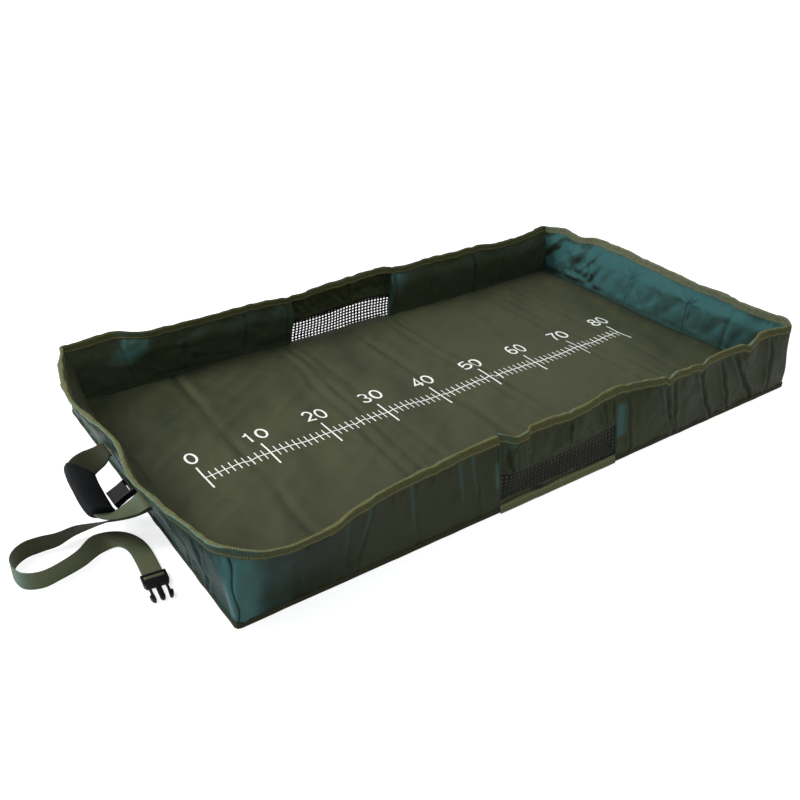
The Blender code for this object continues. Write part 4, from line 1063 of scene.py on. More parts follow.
def foot_tape(name, points_at, u, mat, high, flare=0.0):
    z = np.array([0.0006, 0.0012, high / 2, high - 0.0008, high])
    out = np.array([0.0012, 0.0016, 0.0018, 0.0015, 0.0009]) + flare * np.array([1.0, 1.0, 0.6, 0.1, 0.0])
    uu, zz = np.meshgrid(u, z, indexing="ij")
    zz = zz * (1 + 0.10 * noise(uu / 0.04, 0 * uu, 81))
    push = out + 0.0007 * noise(uu / 0.02, zz / 0.01, 82) * bump(zz, high / 2, high / 2)
    rings = skins(points_at(uu, zz, 0 * uu, push), points_at(uu, zz, 0 * uu, 0 * push - 0.0001))
    obj = ring_object(name, rings, mat, {"along": skins(uu), "across": skins(zz - high / 2)})
    tint_by_facing(obj, 0.30, 0.95, 0.7)
    return obj


def tray_tapes(end, mats):
    tray, total = END_NAMES[end], tray_total(end)
    rim_u, foot_u = (np.linspace(EDGE_IN, total - EDGE_IN, int(total / step)) for step in (TAPE_STEP, FOOT_STEP))
    at = partial(wall_point, end, tape=True)
    obj = rim_tape(f"{tray}_rim_binding", at, rim_u, mats["tape"], rim_style(end, rim_u))
    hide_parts(f"{tray}_rim_tape")
    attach(obj, f"{tray}_tray")
    obj = foot_tape(f"{tray}_foot_binding", at, foot_u, mats["foot"], FOOT_HIGH)
    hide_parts(f"{tray}_foot_tape")
    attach(obj, f"{tray}_tray")


# Floor: a pad whose top carries the creases

# Crease lines across the floor: x at the front, x at the back, depth and half width
FLOOR_CREASES = (
    (-0.357, -0.336, 0.0022, 0.006), (-0.194, -0.150, 0.0018, 0.005), (-0.168, -0.130, 0.0016, 0.004),
    (0.001, -0.003, 0.0020, 0.006), (0.107, 0.084, 0.0016, 0.005), (0.075, 0.065, 0.0012, 0.005),
    (0.290, 0.292, 0.0018, 0.005), (0.322, 0.318, 0.0012, 0.004), (0.364, 0.360, 0.0016, 0.005),
)
# Fine single creases: two ends, depth and half width
FINE_CREASES = (
    ((-0.116, 0.262), (-0.107, 0.225), 0.0010, 0.0022), ((-0.107, 0.225), (-0.102, 0.190), 0.0008, 0.0022),
    ((-0.102, 0.190), (0.010, -0.010), 0.0007, 0.0030), ((0.095, 0.262), (0.110, 0.205), 0.0010, 0.0025),
    ((-0.451, 0.168), (-0.433, 0.221), 0.0010, 0.0020), ((-0.420, -0.080), (-0.385, -0.150), 0.0010, 0.0025),
    ((-0.410, -0.090), (-0.340, -0.190), 0.0007, 0.0022),
)
FLOOR_FACETS = ((0.0017, 0.075, 1.3, 2.2), (0.0010, 0.045, 0.5, 2.0), (0.0004, 0.020, 1.1, 2.4))
FLOOR_REACH_X = LENGTH / 2 - 0.0008
FLOOR_REACH_Y = WIDTH / 2 - 0.0008
FLOOR_STEP = 0.0042
SKIN_IN = 0.0125


def segment_distance(x, y, a, b):
    ax, ay = a
    dx, dy = b[0] - ax, b[1] - ay
    t = np.clip(((x - ax) * dx + (y - ay) * dy) / (dx * dx + dy * dy), 0, 1)
    return np.hypot(x - ax - t * dx, y - ay - t * dy), t


def near_facets(x, y):
    """The crumpled strip of floor beside the head tray's end wall."""
    return facets(x, y, 0.022, 1.2, 1.8, 441), step_down(x, -0.476, -0.430)


def floor_drop(x, y):
    """How far the floor's top lies under its full height."""
    share = (y + WIDTH / 2) / WIDTH
    out = np.zeros_like(x)
    for front, back, depth, half in FLOOR_CREASES:
        d = x - (front + (back - front) * share) - 0.004 * noise(y / 0.09, 0 * y + front * 9, 5)
        fade = 0.55 + 0.45 * noise(y / 0.07, 0 * y + front * 31, 6)
        out += 1.3 * depth * fade * (bump(d, 0, half) - 0.35 * bump(np.abs(d), 2.4 * half, 1.5 * half))
    for a, b, depth, half in FINE_CREASES:
        d, t = segment_distance(x, y, a, b)
        out += depth * bump(d, 0, half) * np.sin(math.pi * np.clip(t, 0.08, 0.92))
    out += 0.0022 * noise(x / 0.11, y / 0.16, 21) + 0.0016 * turned_noise(x, y, 1.35, 0.14, 0.040, 22)
    out += 0.0010 * folded(x, y, 0.6, 0.11, 0.030, 23) + 0.0008 * folded(x, y, 2.0, 0.09, 0.024, 25)
    out += facet_sum(FLOOR_FACETS, 431, x, y) + 0.0006
    near, zone = near_facets(x, y)
    out += 0.0022 * near * zone
    crumple = between(x, 0.08, 0.16, 0.30, 0.40) * step_up(y, 0.05, 0.12)
    out += crumple * 0.0008 * (ridge(turned_noise(x, y, 0.8, 0.05, 0.025, 24), 6) - 0.3)
    from_side = np.minimum(WIDTH / 2 - SKIN_IN - np.abs(y), LENGTH / 2 - SKIN_IN - np.abs(x))
    out += 0.0060 * np.exp(-np.clip(from_side, 0, 1) / 0.012)
    return out + 0.0012 * sum(bump(x, fold, 0.006) for fold in FOLD_X.values())


def floor_z(x, y):
    return FLOOR_TOP_Z + 0.0008 - floor_drop(x, y)


def floor_shadow(x, y):
    """Where the floor is darker: beside the walls and the near net, in the crumples and towards the head's back."""
    out = 0.35 * np.exp(-np.clip(WIDTH / 2 - 0.012 - y, 0, 1) / 0.03)
    out = out + 0.45 * np.exp(-np.clip(LENGTH / 2 - 0.012 - x, 0, 1) / 0.012)
    out = out + 0.80 * between(x, -0.125, -0.110, 0.092, 0.105) * step_down(y, -0.278, -0.262)
    near, zone = near_facets(x, y)
    out = out + 0.9 * np.clip(near, 0, 1) * zone * step_up(y, -0.24, -0.16)
    out = out + 0.45 * step_down(x, -0.44, -0.16) * step_up(y, -0.12, 0.18) + 0.20 * step_up(x, 0.28, 0.42)
    return out + 0.20 * step_down(x, -0.08, 0.10) * step_up(y, 0.02, 0.14) - 0.22 * bump(x, 0.18, 0.12)


def floor_lines(end):
    """The places of a floor half's grid lines along X and along Y."""
    low, high = (-FLOOR_REACH_X, SPLIT_X) if end < 0 else (SPLIT_X, FLOOR_REACH_X)
    xs = np.linspace(low, high, int((high - low) / FLOOR_STEP) + 1)
    return xs, np.linspace(-FLOOR_REACH_Y, FLOOR_REACH_Y, int(2 * FLOOR_REACH_Y / FLOOR_STEP) + 1)


def laid_z(end, x, y):
    """The height of a floor half's grid under places, so that print lies on its faces."""
    cells = []
    for line, at in zip(floor_lines(end), (x, y)):
        k = np.clip(np.searchsorted(line, at + 1e-7) - 1, 0, len(line) - 2)
        cells.append((line[k], line[k + 1], np.clip((at - line[k]) / (line[k + 1] - line[k]), 0, 1)))
    (x0, x1, tx), (y0, y1, ty) = cells
    near, far = (floor_z(x0, y) * (1 - tx) + floor_z(x1, y) * tx for y in (y0, y1))
    return near * (1 - ty) + far * ty


def floor_half(end, mat):
    """One half of the floor: the pad's creased top, its sides and its flat underside."""
    tray = END_NAMES[end]
    x, y = np.meshgrid(*floor_lines(end), indexing="ij")
    m, n = x.shape
    # The edge dips under the lining's foot, and less so beside the nets
    hidden = np.clip((np.abs(y) - (WIDTH / 2 - SKIN_IN)) / 0.010, 0, 1)
    z = floor_z(x, y) - np.where((x < FOLD_X[-1]) | (x > FOLD_X[1]), 0.018, 0.002) * hidden
    points = np.concatenate([np.stack([x, y, z], -1).reshape(-1, 3), np.stack([x, y, 0 * x], -1).reshape(-1, 3)])
    faces = grid_faces(m, n) + [tuple(reversed(f)) for f in grid_faces(m, n, m * n)]
    rim = [i * n for i in range(m)] + [(m - 1) * n + j for j in range(1, n)]
    rim += [i * n + n - 1 for i in range(m - 2, -1, -1)] + [j for j in range(n - 2, 0, -1)]
    faces += [(a, b, b + m * n, a + m * n) for a, b in zip(rim, rim[1:] + rim[:1])]
    away = {key: np.full(2 * m * n, FAR_AWAY) for key in ("seam", "dart")}
    obj = make_object(f"floor_pad_{tray}", points, faces, mat, away)
    ways = read_points(obj.data.vertex_normals, "vector")
    # Painted shade: the floor's shadow map, darker where the cloth faces away from the key lamp, and dark on the pad's
    # underside, fading up its sides.
    shadow = np.concatenate([floor_shadow(x, y).reshape(-1), np.ones(m * n)])
    set_attribute(obj, "tint", np.clip(0.15 + shadow + 1.9 * ways[:, 0] - 0.9 * ways[:, 1], 0, 1))
    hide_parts(*(f"{t}_{p}" for t in (tray, "mid") for p in ("floor_cover", "floor_foam", "base_cover")))
    bend(obj)


def bend(obj):
    """Bakes the piece's placing into its mesh."""
    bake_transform(obj)


# Ruler

RULER_Y = -0.028
RULER_LOW_X = -0.417
RULER_HIGH_X = 0.383
RULER_STEPS = 80
RULER_HALF_LINE = 0.0009
# How far a mark reaches to each side of the line, and half its width
LONG_MARK = (0.030, 0.0013)
SHORT_MARK = (0.0125, 0.0008)
PRINT_REACH_X = 0.45
PRINT_REACH_Y = 0.065
NUMBER_SHIFT_X = 0.003
NUMBER_Y = 0.0128
PRINT_LIFT = 0.00035
DIGIT_HIGH = 0.0275
DIGIT_WIDE = 0.0290
DIGIT_STEP = 0.0205
DIGIT_HALF_STROKE = 0.0017


def strip_faces(bm, x0, x1, y0, y1):
    bm.faces.new([bm.verts.new((x, y, 0)) for x, y in ((x0, y0), (x1, y0), (x1, y1), (x0, y1))])


def arc(x, y, rx, ry, first, last, count=14):
    turn = np.radians(np.linspace(first, last, count))
    return [(x + rx * math.cos(a), y + ry * math.sin(a)) for a in turn]


# Strokes of the digits in a box one high
DIGIT_STROKES = {
    "0": [arc(0.28, 0.5, 0.25, 0.46, 0, 360, 29)],
    "1": [[(0.07, 0.76), (0.20, 0.81), (0.30, 0.96), (0.30, 0.0)]],
    "2": [arc(0.27, 0.69, 0.23, 0.27, 172, -38) + [(0.05, 0.04), (0.53, 0.04)]],
    "3": [arc(0.26, 0.73, 0.21, 0.23, 160, -90), arc(0.26, 0.27, 0.25, 0.23, 90, -162)],
    "4": [[(0.41, 0.0), (0.41, 0.95), (0.03, 0.27), (0.56, 0.27)]],
    "5": [[(0.50, 0.95), (0.13, 0.95), (0.07, 0.47)] + arc(0.27, 0.31, 0.25, 0.27, 132, -162)],
    "6": [arc(0.29, 0.29, 0.24, 0.25, 0, 360, 25), arc(0.31, 0.45, 0.26, 0.50, 186, 62)],
    "7": [[(0.03, 0.95), (0.54, 0.95), (0.37, 0.62), (0.26, 0.30), (0.22, 0.0)]],
    "8": [arc(0.28, 0.73, 0.20, 0.22, 0, 360, 25), arc(0.28, 0.27, 0.25, 0.25, 0, 360, 25)],
}


def stroke_faces(bm, points, half):
    """A flat line of even width through points, mitred at its bends."""
    points = [Vector((*p, 0)) for p in points]
    left, right = [], []
    for k, p in enumerate(points):
        ways = [(points[b] - points[a]).normalized() for a, b in ((k - 1, k), (k, k + 1)) if a >= 0 and b < len(points)]
        mean = sum(ways, Vector()).normalized()
        out = Vector((-mean.y, mean.x, 0)) * half / max(0.5, mean.dot(ways[0]))
        left.append(bm.verts.new(p + out))
        right.append(bm.verts.new(p - out))
    for k in range(len(points) - 1):
        bm.faces.new((right[k], right[k + 1], left[k + 1], left[k]))


def number_mesh(text, middle, base, bm):
    start = middle - (len(text) - 1) * DIGIT_STEP / 2 - 0.28 * DIGIT_WIDE
    for k, digit in enumerate(text):
        for line in DIGIT_STROKES[digit]:
            points = [(start + k * DIGIT_STEP + x * DIGIT_WIDE, base + y * DIGIT_HIGH) for x, y in line]
            stroke_faces(bm, points, DIGIT_HALF_STROKE)


def cut(bm, place, way, drop_far=False):
    """Cuts a mesh along a plane. What lies past the plane can be dropped."""
    geometry = bm.verts[:] + bm.edges[:] + bm.faces[:]
    return bmesh.ops.bisect_plane(bm, geom=geometry, plane_co=place, plane_no=way, clear_outer=drop_far)["geom_cut"]


def ruler(mat):
    """The printed ruler and its plain numbers, laid on the creased floor."""
    bm = bmesh.new()
    strip_faces(bm, RULER_LOW_X - 0.001, RULER_HIGH_X + 0.001, RULER_Y - RULER_HALF_LINE, RULER_Y + RULER_HALF_LINE)
    unit = (RULER_HIGH_X - RULER_LOW_X) / RULER_STEPS
    for k in range(RULER_STEPS + 1):
        x = RULER_LOW_X + k * unit
        reach, half = SHORT_MARK if k % 10 else LONG_MARK
        strip_faces(bm, x - half, x + half, RULER_Y - reach, RULER_Y + reach)
        if k % 10 == 0:
            number_mesh(str(k), x + NUMBER_SHIFT_X, NUMBER_Y, bm)
    for end, tray in END_NAMES.items():
        half = bm.copy()
        xs, ys = floor_lines(end)
        for x in xs[np.abs(xs) < PRINT_REACH_X]:
            cut(half, (x, 0, 0), (1, 0, 0))
        for y in ys[np.abs(ys) < PRINT_REACH_Y]:
            cut(half, (0, y, 0), (0, 1, 0))
        cut(half, (SPLIT_X, 0, 0), (-end, 0, 0), True)
        x, y = np.array([v.co[:2] for v in half.verts]).T
        for v, height in zip(half.verts, laid_z(end, x, y) + PRINT_LIFT):
            v.co.z = height
        bmesh.ops.recalc_face_normals(half, faces=half.faces)
        if sum(f.normal.z for f in half.faces) < 0:
            bmesh.ops.reverse_faces(half, faces=half.faces)
        mesh = bpy.data.meshes.new(f"ruler_print_{tray}")
        half.to_mesh(mesh)
        half.free()
        obj = link_object(mesh.name, mesh, mat)
        bend(obj)
    bm.free()


# Sides of the middle panel

STRIP_OVER = 0.0020
STRIP_COLUMNS = 64
STRIP_ROWS = 18
STRIP_THICK = 0.0014
STRIP_FACETS = ((0.0012, 0.040, 0.5, 1.8), (0.0005, 0.018, -0.6, 1.5))
FRONT_MID_CREASES = (
    (-0.112, -0.088, 0.0030, 0.0022), (-0.090, -0.096, 0.0014, 0.0018), (0.003, 0.007, 0.0024, 0.0016),
    (0.075, 0.083, 0.0020, 0.0018), (0.093, 0.096, 0.0030, 0.0018),
)
BACK_MID_CREASES = (
    (-0.108, -0.112, 0.0030, 0.0024), (0.015, 0.024, 0.0034, 0.0024), (-0.050, -0.045, 0.0020, 0.003),
    (0.090, 0.088, 0.0026, 0.0024),
)
PANEL_GAP = 0.0003
MID_FOOT_HIGH = 0.0122
MID_FOOT_FLARE = 0.0030
NET_ROWS = 9
NET_COLUMNS = 32
NET_THICK = 0.0007
# Half a hole's width, and the reach of its cut corners along each way, in cells
HOLE_SIDE = 0.3
HOLE_CORNER = 0.2355


def mid_point(side, x, z, inset, push):
    """World points of the middle panel's side: inset from the outside face, pushed outwards."""
    shares, leans = zip(*(FRONT_LEAN_SHARES if side < 0 else BACK_LEAN_SHARES))
    lean = smooth_table(shares, leans, x / LENGTH) * HEIGHT
    rise = np.maximum(0, (z - FLOOR_TOP_Z) / (HEIGHT - FLOOR_TOP_Z))
    y = side * (WIDTH / 2 + lean * rise + push - inset)
    return np.stack([x, y, z + side_dip(side, x) * np.minimum(rise, 1)], -1)


def strip_low(x, side):
    """Height of the limp strip's sagging lower edge."""
    along = (x - FOLD_X[-1]) / (FOLD_X[1] - FOLD_X[-1])
    sag = 0.006 * np.sin(math.pi * np.clip(along * 1.3, 0, 1)) if side < 0 else 0.002 * np.sin(7 * along)
    return MESH_HIGH_Z - 0.002 - sag


def half_of(obj, name, end):
    """A copy of the part of a closed piece on one side of the middle panel's split line, closed again."""
    bm = bmesh.new()
    bm.from_mesh(obj.data)
    made = cut(bm, (SPLIT_X, 0, 0), (-end, 0, 0), True)
    bmesh.ops.holes_fill(bm, edges=[e for e in made if isinstance(e, bmesh.types.BMEdge)], sides=0)
    mesh = bpy.data.meshes.new(name)
    bm.to_mesh(mesh)
    bm.free()
    mesh.shade_smooth()
    mesh.set_sharp_from_angle(angle=SMOOTH_ANGLE)
    return link_object(name, mesh, obj.data.materials[0])


def limp_strip(side, mat):
    """The strip of cloth above a net, sagging and creased, with no foam in it."""
    xs = np.linspace(FOLD_X[-1] - STRIP_OVER, FOLD_X[1] + STRIP_OVER, STRIP_COLUMNS)
    uu, tt = np.meshgrid(xs, np.linspace(0, 1, STRIP_ROWS), indexing="ij")
    base = strip_low(uu, side)
    zz = base + (WALL_TOP_Z - 0.002 - base) * tt
    thick = STRIP_THICK + (RIM_THICK - STRIP_THICK) * step_up(tt, 0.35, 0.95)
    crumple = 0.0020 * turned_noise(uu, zz, 0.7, 0.09, 0.030, 51 + side)
    crumple = crumple + 0.0012 * turned_noise(uu, zz, -0.8, 0.060, 0.018, 53 + side)
    push = np.sin(math.pi * tt) ** 0.7 * (0.0020 + crumple) - 0.0006
    rings = skins(mid_point(side, uu, zz, 0 * uu, push), mid_point(side, uu, zz, thick, push))
    far = np.full(rings.shape[:2], FAR_AWAY)
    attributes = {
        "run": skins(uu), "high": skins(zz), "share": skins(tt), "inside": skins(0 * uu, 0 * uu + 1), "seam": far,
        "dart": far,
    }
    whole = ring_object(f"{SIDE_NAMES[side]}_limp_strip", rings, mat, attributes)
    held = (tt > 0.88) | (uu < xs[2]) | (uu > xs[-3]) | (tt < 0.06)
    settle(whole, skins(held).reshape(-1), 0.0040, 0.0035, -0.05, 0.4)
    subdivide(whole)
    run_x, high, share, inside = (attribute_values(whole, key) for key in ("run", "high", "share", "inside"))
    way = np.where(inside > 0.5, -1, 1)
    edges = np.sin(math.pi * np.clip(share, 0.02, 0.98)) ** 0.4 * step_down(high, 0.094, 0.104)
    push_out(whole, way * facet_sum(STRIP_FACETS, 420 + side, run_x, high) * edges)
    tint_by_facing(whole, 0.40, 1.0, 0.5)
    creases = FRONT_MID_CREASES if side < 0 else BACK_MID_CREASES
    push_out(whole, way * crease_push(creases, run_x + 0.0020 * noise(high / 0.02, 0 * high, 97), high) * edges)
    return whole


def mid_side(side, mats):
    name, at = SIDE_NAMES[side], partial(mid_point, side)
    whole = limp_strip(side, mats["wall"])
    for end, half in END_NAMES.items():
        low, high = sorted((SPLIT_X, FOLD_X[end] - end * PANEL_GAP))
        obj = half_of(whole, f"{name}_limp_strip_{half}", end)
        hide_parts(f"{name}_gusset_strip")
        bend(obj)
        stations = np.linspace(low, high, 36)
        # Painted shade on the back rim's top.
        style = (0 * stations + (side > 0), 0 * stations, 0 * stations)
        obj = rim_tape(f"{name}_mid_rim_binding_{half}", at, stations, mats["tape"], style)
        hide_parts(f"{name}_mid_rim_tape")
        bend(obj)
        stations = np.linspace(low, high, 40)
        foot_name = f"{name}_mid_foot_binding_{half}"
        obj = foot_tape(foot_name, at, stations, mats["light_tape"], MID_FOOT_HIGH, MID_FOOT_FLARE)
        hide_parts(f"{name}_mid_foot_tape")
        bend(obj)
        flat = (high - low, MESH_HIGH_Z - MESH_LOW_Z)
        obj, solid_share = net(f"{name}_net_{half}", side, low, high, mats["net"])
        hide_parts(f"{name}_mesh_window")
        flat[0] * flat[1] * solid_share
        bend(obj)
    bpy.data.objects.remove(whole, do_unlink=True)


def net(name, side, low, high, mat):
    """A drain net: a sheet with an eight-sided hole in each cell. It returns the share that is solid too."""
    columns = round((high - low) * NET_COLUMNS / (FOLD_X[1] - FOLD_X[-1]))
    places, faces = {}, []

    def point(a, b):
        """A vertex at a place in cells, shared between neighbours."""
        return places.setdefault((round(a, 4), round(b, 4)), len(places))

    cell = [(0, 0), (0.5, 0), (1, 0), (1, 0.5), (1, 1), (0.5, 1), (0, 1), (0, 0.5)]
    for i in range(columns):
        for j in range(NET_ROWS):
            outer = [point(i + a, j + b) for a, b in cell]
            hole = []
            for k, (a, b) in enumerate(cell):
                reach = HOLE_SIDE if k % 2 else HOLE_CORNER
                hole.append(point(i + 0.5 + (2 * a - 1) * reach, j + 0.5 + (2 * b - 1) * reach))
            faces += [(outer[k - 1], outer[k], hole[k], hole[k - 1]) for k in range(8)]
    cells = np.array(list(places), float)
    x, share = low + cells[:, 0] * (high - low) / columns, cells[:, 1] / NET_ROWS
    z = MESH_LOW_Z - 0.001 + (strip_low(x, side) + 0.004 - MESH_LOW_Z + 0.001) * share
    sag = np.sin(math.pi * np.clip(share, 0, 1)) ** 0.7
    push = sag * (0.0015 * noise(x / 0.05, z / 0.05, 61 + side) + 0.0010 * noise(x / 0.02, z / 0.03, 62)) - 0.0010
    x = x + 0.0008 * noise(x / 0.03, z / 0.02, 64) * sag
    verts = np.concatenate([mid_point(side, x, z, inset + 0 * x, push) for inset in (0, NET_THICK)])
    edges = {(a, b) for f in faces for a, b in zip(f, f[1:] + f[:1])}
    count = len(places)
    solid = faces + [tuple(v + count for v in reversed(f)) for f in faces]
    solid += [(b, a, a + count, b + count) for a, b in sorted(edges) if (b, a) not in edges]
    return make_object(name, verts, solid, mat, {}, NET_SMOOTH_ANGLE), 1 - 4 * HOLE_SIDE * HOLE_CORNER


# Webbing

HANDLE_WEB = (0.038, 0.002)
SLEEVE_WIDTH = 0.044
SLEEVE_THICK = 0.0160
STRAP_WIDTH = 0.025
STRAP_THICK = 0.0016
SWING_Z = 0.056
HANDLE_REACH = 0.0670
# Where each handle's legs stand along the end wall, and its hinge line
HANDLE_LEGS = {-1: (-0.074, 0.066), 1: (-0.088, 0.052)}
SWING_X = {-1: -0.515112, 1: 0.509579}
LEG_OVERRUN = 0.0008
LEG_STRAIGHT = 0.0045
SLEEVE_SHARES = (15 / 52, 34 / 52)
# The handle's line as shares of its reach, of the way from leg to leg and of the hinge's height, and the webbing's
# width way at each
HANDLE_ROUTE_SHARES = (
    ((0.4925, 0.9679, 0.9286), (0.15, -0.93, -0.32)), ((0.7463, 0.9071, 0.9107), (0.45, -0.72, -0.54)),
    ((0.9104, 0.8000, 0.9464), (0.72, -0.35, -0.60)), ((0.9776, 0.6286, 0.9732), (0.80, 0.00, -0.60)),
    ((1.0000, 0.4429, 0.9464), (0.80, 0.20, -0.56)), ((1.0000, 0.2857, 0.8661), (0.80, 0.30, -0.52)),
    ((0.9776, 0.1643, 0.8036), (0.72, 0.45, -0.50)), ((0.8955, 0.0857, 0.7857), (0.52, 0.74, -0.38)),
    ((0.7164, 0.0393, 0.8125), (0.33, 0.88, -0.25)), ((0.4627, 0.0143, 0.8929), (0.12, 0.98, -0.08)),
)
STRAP_ROOT = (-0.509457, -0.0700, 0.0440)
STRAP_ROUTE = (
    (-0.5300, -0.0660, 0.0375), (-0.5506, -0.0560, 0.0300), (-0.5752, -0.0400, 0.0215),
    (-0.5962, -0.0318, 0.0165), (-0.6192, -0.0337, 0.0140), (-0.6388, -0.0303, 0.0130),
    (-0.6583, -0.0310, 0.0130), (-0.6743, -0.0418, 0.0130), (-0.6814, -0.0603, 0.0130),
    (-0.6768, -0.0862, 0.0130), (-0.6570, -0.0977, 0.0130), (-0.6325, -0.0940, 0.0130),
    (-0.6068, -0.0849, 0.0128), (-0.5850, -0.0695, 0.0114), (-0.5671, -0.0623, 0.0074),
    (-0.5521, -0.0651, 0.0046), (-0.5425, -0.0785, 0.0034), (-0.5390, -0.0962, 0.0029),
    (-0.5397, -0.1175, 0.0030), (-0.5412, -0.1340, 0.0032),
)
# How far the strap is turned up on edge at each of its places: 0 flat, 1 on edge
STRAP_TURN_SHARES = (
    0.0, 0.08, 0.28, 0.50, 0.70, 0.86, 0.96, 1.0, 1.0, 1.0, 1.0, 1.0, 1.0, 0.88, 0.62, 0.32, 0.12, 0.03, 0.0,
    0.0, 0.0, 0.0,
)
PLUG_REAR = (-0.5428, -0.1500, 0.0033)
PLUG_HEADING = (-0.120, -0.993)
# The webbing's turn in the plug's slot, behind the bar: ahead of the plug's rear, and height over its middle
WRAP_ROUTE = (
    (0.0047, -0.0022), (0.0048, 0.0004), (0.0056, 0.0020), (0.0072, 0.0027), (0.0088, 0.0020), (0.0097, 0.0004),
    (0.0098, -0.0022),
)


def on_curve(a, b, c, d, t):
    bend_part = (2 * a - 5 * b + 4 * c - d) * t ** 2 + (3 * b - a - 3 * c + d) * t ** 3
    return (2 * b + (c - a) * t + bend_part) / 2


def smooth_rows(rows, steps):
    """A curve through rows of numbers, with steps places from each row to the next."""
    rows = np.array(rows, float)
    whole = np.concatenate([[2 * rows[0] - rows[1]], rows, [2 * rows[-1] - rows[-2]]])
    out = [on_curve(*whole[k:k + 4], step / steps) for k in range(len(rows) - 1) for step in range(steps)]
    return np.array(out + [rows[-1]])


def ribbon_frames(rows, start_run, end_run):
    """Places, width ways and through ways of a band, from rows of a place and a width way."""
    places = rows[:, :3]
    runs = np.empty_like(places)
    runs[1:-1] = places[2:] - places[:-2]
    runs[0], runs[-1] = start_run, end_run
    runs /= np.linalg.norm(runs, axis=1, keepdims=True)
    across = rows[:, 3:6] - runs * (rows[:, 3:6] * runs).sum(1, keepdims=True)
    across /= np.linalg.norm(across, axis=1, keepdims=True)
    return places, across, np.cross(runs, across)


def web_section(width, thick):
    """A band's section with rounded edges, as rows of across and through."""
    w, t = width / 2, thick / 2
    flat = np.linspace(-w + t, w - t, 8)
    right = [(w - t * 0.3, t * 0.7), (w, 0.0), (w - t * 0.3, -t * 0.7)]
    left = [(-a, -b) for a, b in right]
    return np.array([(a, t) for a in flat] + right + [(a, -t) for a in flat[::-1]] + left)


def sleeve_section():
    turn = np.linspace(0, 2 * math.pi, 33)[:-1]
    c, s = np.cos(turn), np.sin(turn)
    wide, through = np.sign(c) * np.abs(c) ** 0.7, np.sign(s) * np.abs(s) ** 0.75
    return np.stack([wide * SLEEVE_WIDTH / 2, through * SLEEVE_THICK / 2], -1)


def band(name, lines, section, mat, tint, scale=1.0, widen=1.0):
    """A band of one cross section along one or more lines of frames. It returns the first line's length too."""
    verts, faces, along, cross = [], [], [], []
    for places, across, through in lines:
        m, n = len(places), len(section)
        scales, widths = (np.broadcast_to(share, m)[:, None, None] for share in (scale, widen))
        wide = section[:, 0][None, :, None] * across[:, None, :] * widths
        high = section[:, 1][None, :, None] * through[:, None, :] * scales
        way = np.concatenate([[0], np.cumsum(np.linalg.norm(np.diff(places, axis=0), axis=1))])
        made = ring_faces(m, n) + [tuple(range(n)), tuple((m - 1) * n + q for q in range(n))]
        start = sum(len(v) for v in verts)
        faces += [tuple(v + start for v in f) for f in made]
        verts.append((places[:, None, :] + wide + high).reshape(-1, 3))
        along.append(np.repeat(way, n))
        cross.append(np.tile(section[:, 0], m))
    attributes = {"along": np.concatenate(along), "across": np.concatenate(cross)}
    obj = make_object(name, np.concatenate(verts), faces, mat, attributes)
    tint_by_facing(obj, 0.30, 0.95, tint)
    return obj, along[0][-1]


def handle_rows(end):
    (front_y, back_y), swing_x = HANDLE_LEGS[end], SWING_X[end]
    root_x, straight_x = swing_x - end * LEG_OVERRUN, swing_x + end * LEG_STRAIGHT
    rows = [(x, back_y, SWING_Z, 0, -1, 0) for x in (root_x, straight_x)]
    for (out, along, up), across in HANDLE_ROUTE_SHARES:
        place = (end * (LENGTH / 2 + out * HANDLE_REACH), front_y + along * (back_y - front_y), up * SWING_Z)
        rows.append((*place, -end * across[0], across[1], across[2]))
    return rows + [(x, front_y, SWING_Z, 0, 1, 0) for x in (straight_x, root_x)]


def strap_rows(heading):
    tip = np.array(PLUG_REAR) - heading * 0.0003
    rows = smooth_rows([(*p, share) for p, share in zip((STRAP_ROOT, *STRAP_ROUTE, tip), STRAP_TURN_SHARES)], 8)
    out = []
    for k, row in enumerate(rows):
        run = rows[min(k + 1, len(rows) - 1)][:3] - rows[max(k - 1, 0)][:3]
        if k == 0:
            run = np.array([-1.0, 0, 0])
        if k == len(rows) - 1:
            run = heading
        flat = -np.cross(run / np.linalg.norm(run), (0, 0, 1))
        flat /= np.linalg.norm(flat)
        turn = row[3] * math.pi / 2
        out.append((*row[:3], *(flat * math.cos(turn) + np.array([0, 0, math.sin(turn)]))))
    return np.array(out)


def wrap_frames(heading):
    places = np.array(PLUG_REAR) + np.array([heading * ahead + np.array([0, 0, up]) for ahead, up in WRAP_ROUTE])
    rows = smooth_rows([(*p, *np.cross(heading, (0, 0, 1))) for p in places], 3)
    return ribbon_frames(rows, (0, 0, 1), (0, 0, -1))


def strap(mats):
    heading = np.array([*PLUG_HEADING, 0.0])
    heading /= np.linalg.norm(heading)
    frames = ribbon_frames(strap_rows(heading), (-1, 0, 0), heading)
    lines = [frames, wrap_frames(heading)]
    obj, length = band("strap_webbing", lines, web_section(STRAP_WIDTH, STRAP_THICK), mats["web"], 1.0)
    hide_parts("closing_strap")
    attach(obj, "head_tray")
    # Painted shade along the loop's back run.
    set_attribute(obj, "shade", 0.65 * between(attribute_values(obj, "along"), 0.03, 0.08, 0.165, 0.195))


def handles(mats):
    for end, name in ((-1, "carry"), (1, "far")):
        frames = ribbon_frames(smooth_rows(handle_rows(end), 10), (end, 0, 0), (-end, 0, 0))
        obj, _ = band(f"{name}_handle_band", [frames], web_section(*HANDLE_WEB), mats["web"], 0.7)
        # Painted shade on the carry handle's back leg.
        set_attribute(obj, "shade", 0.85 * step_down(attribute_values(obj, "along"), 0.06, 0.10) * (end < 0))
        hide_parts(f"{name}_handle_webbing")
        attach(obj, f"{name}_handle")
        if end < 0:
            sleeve(frames, mats["rubber"])


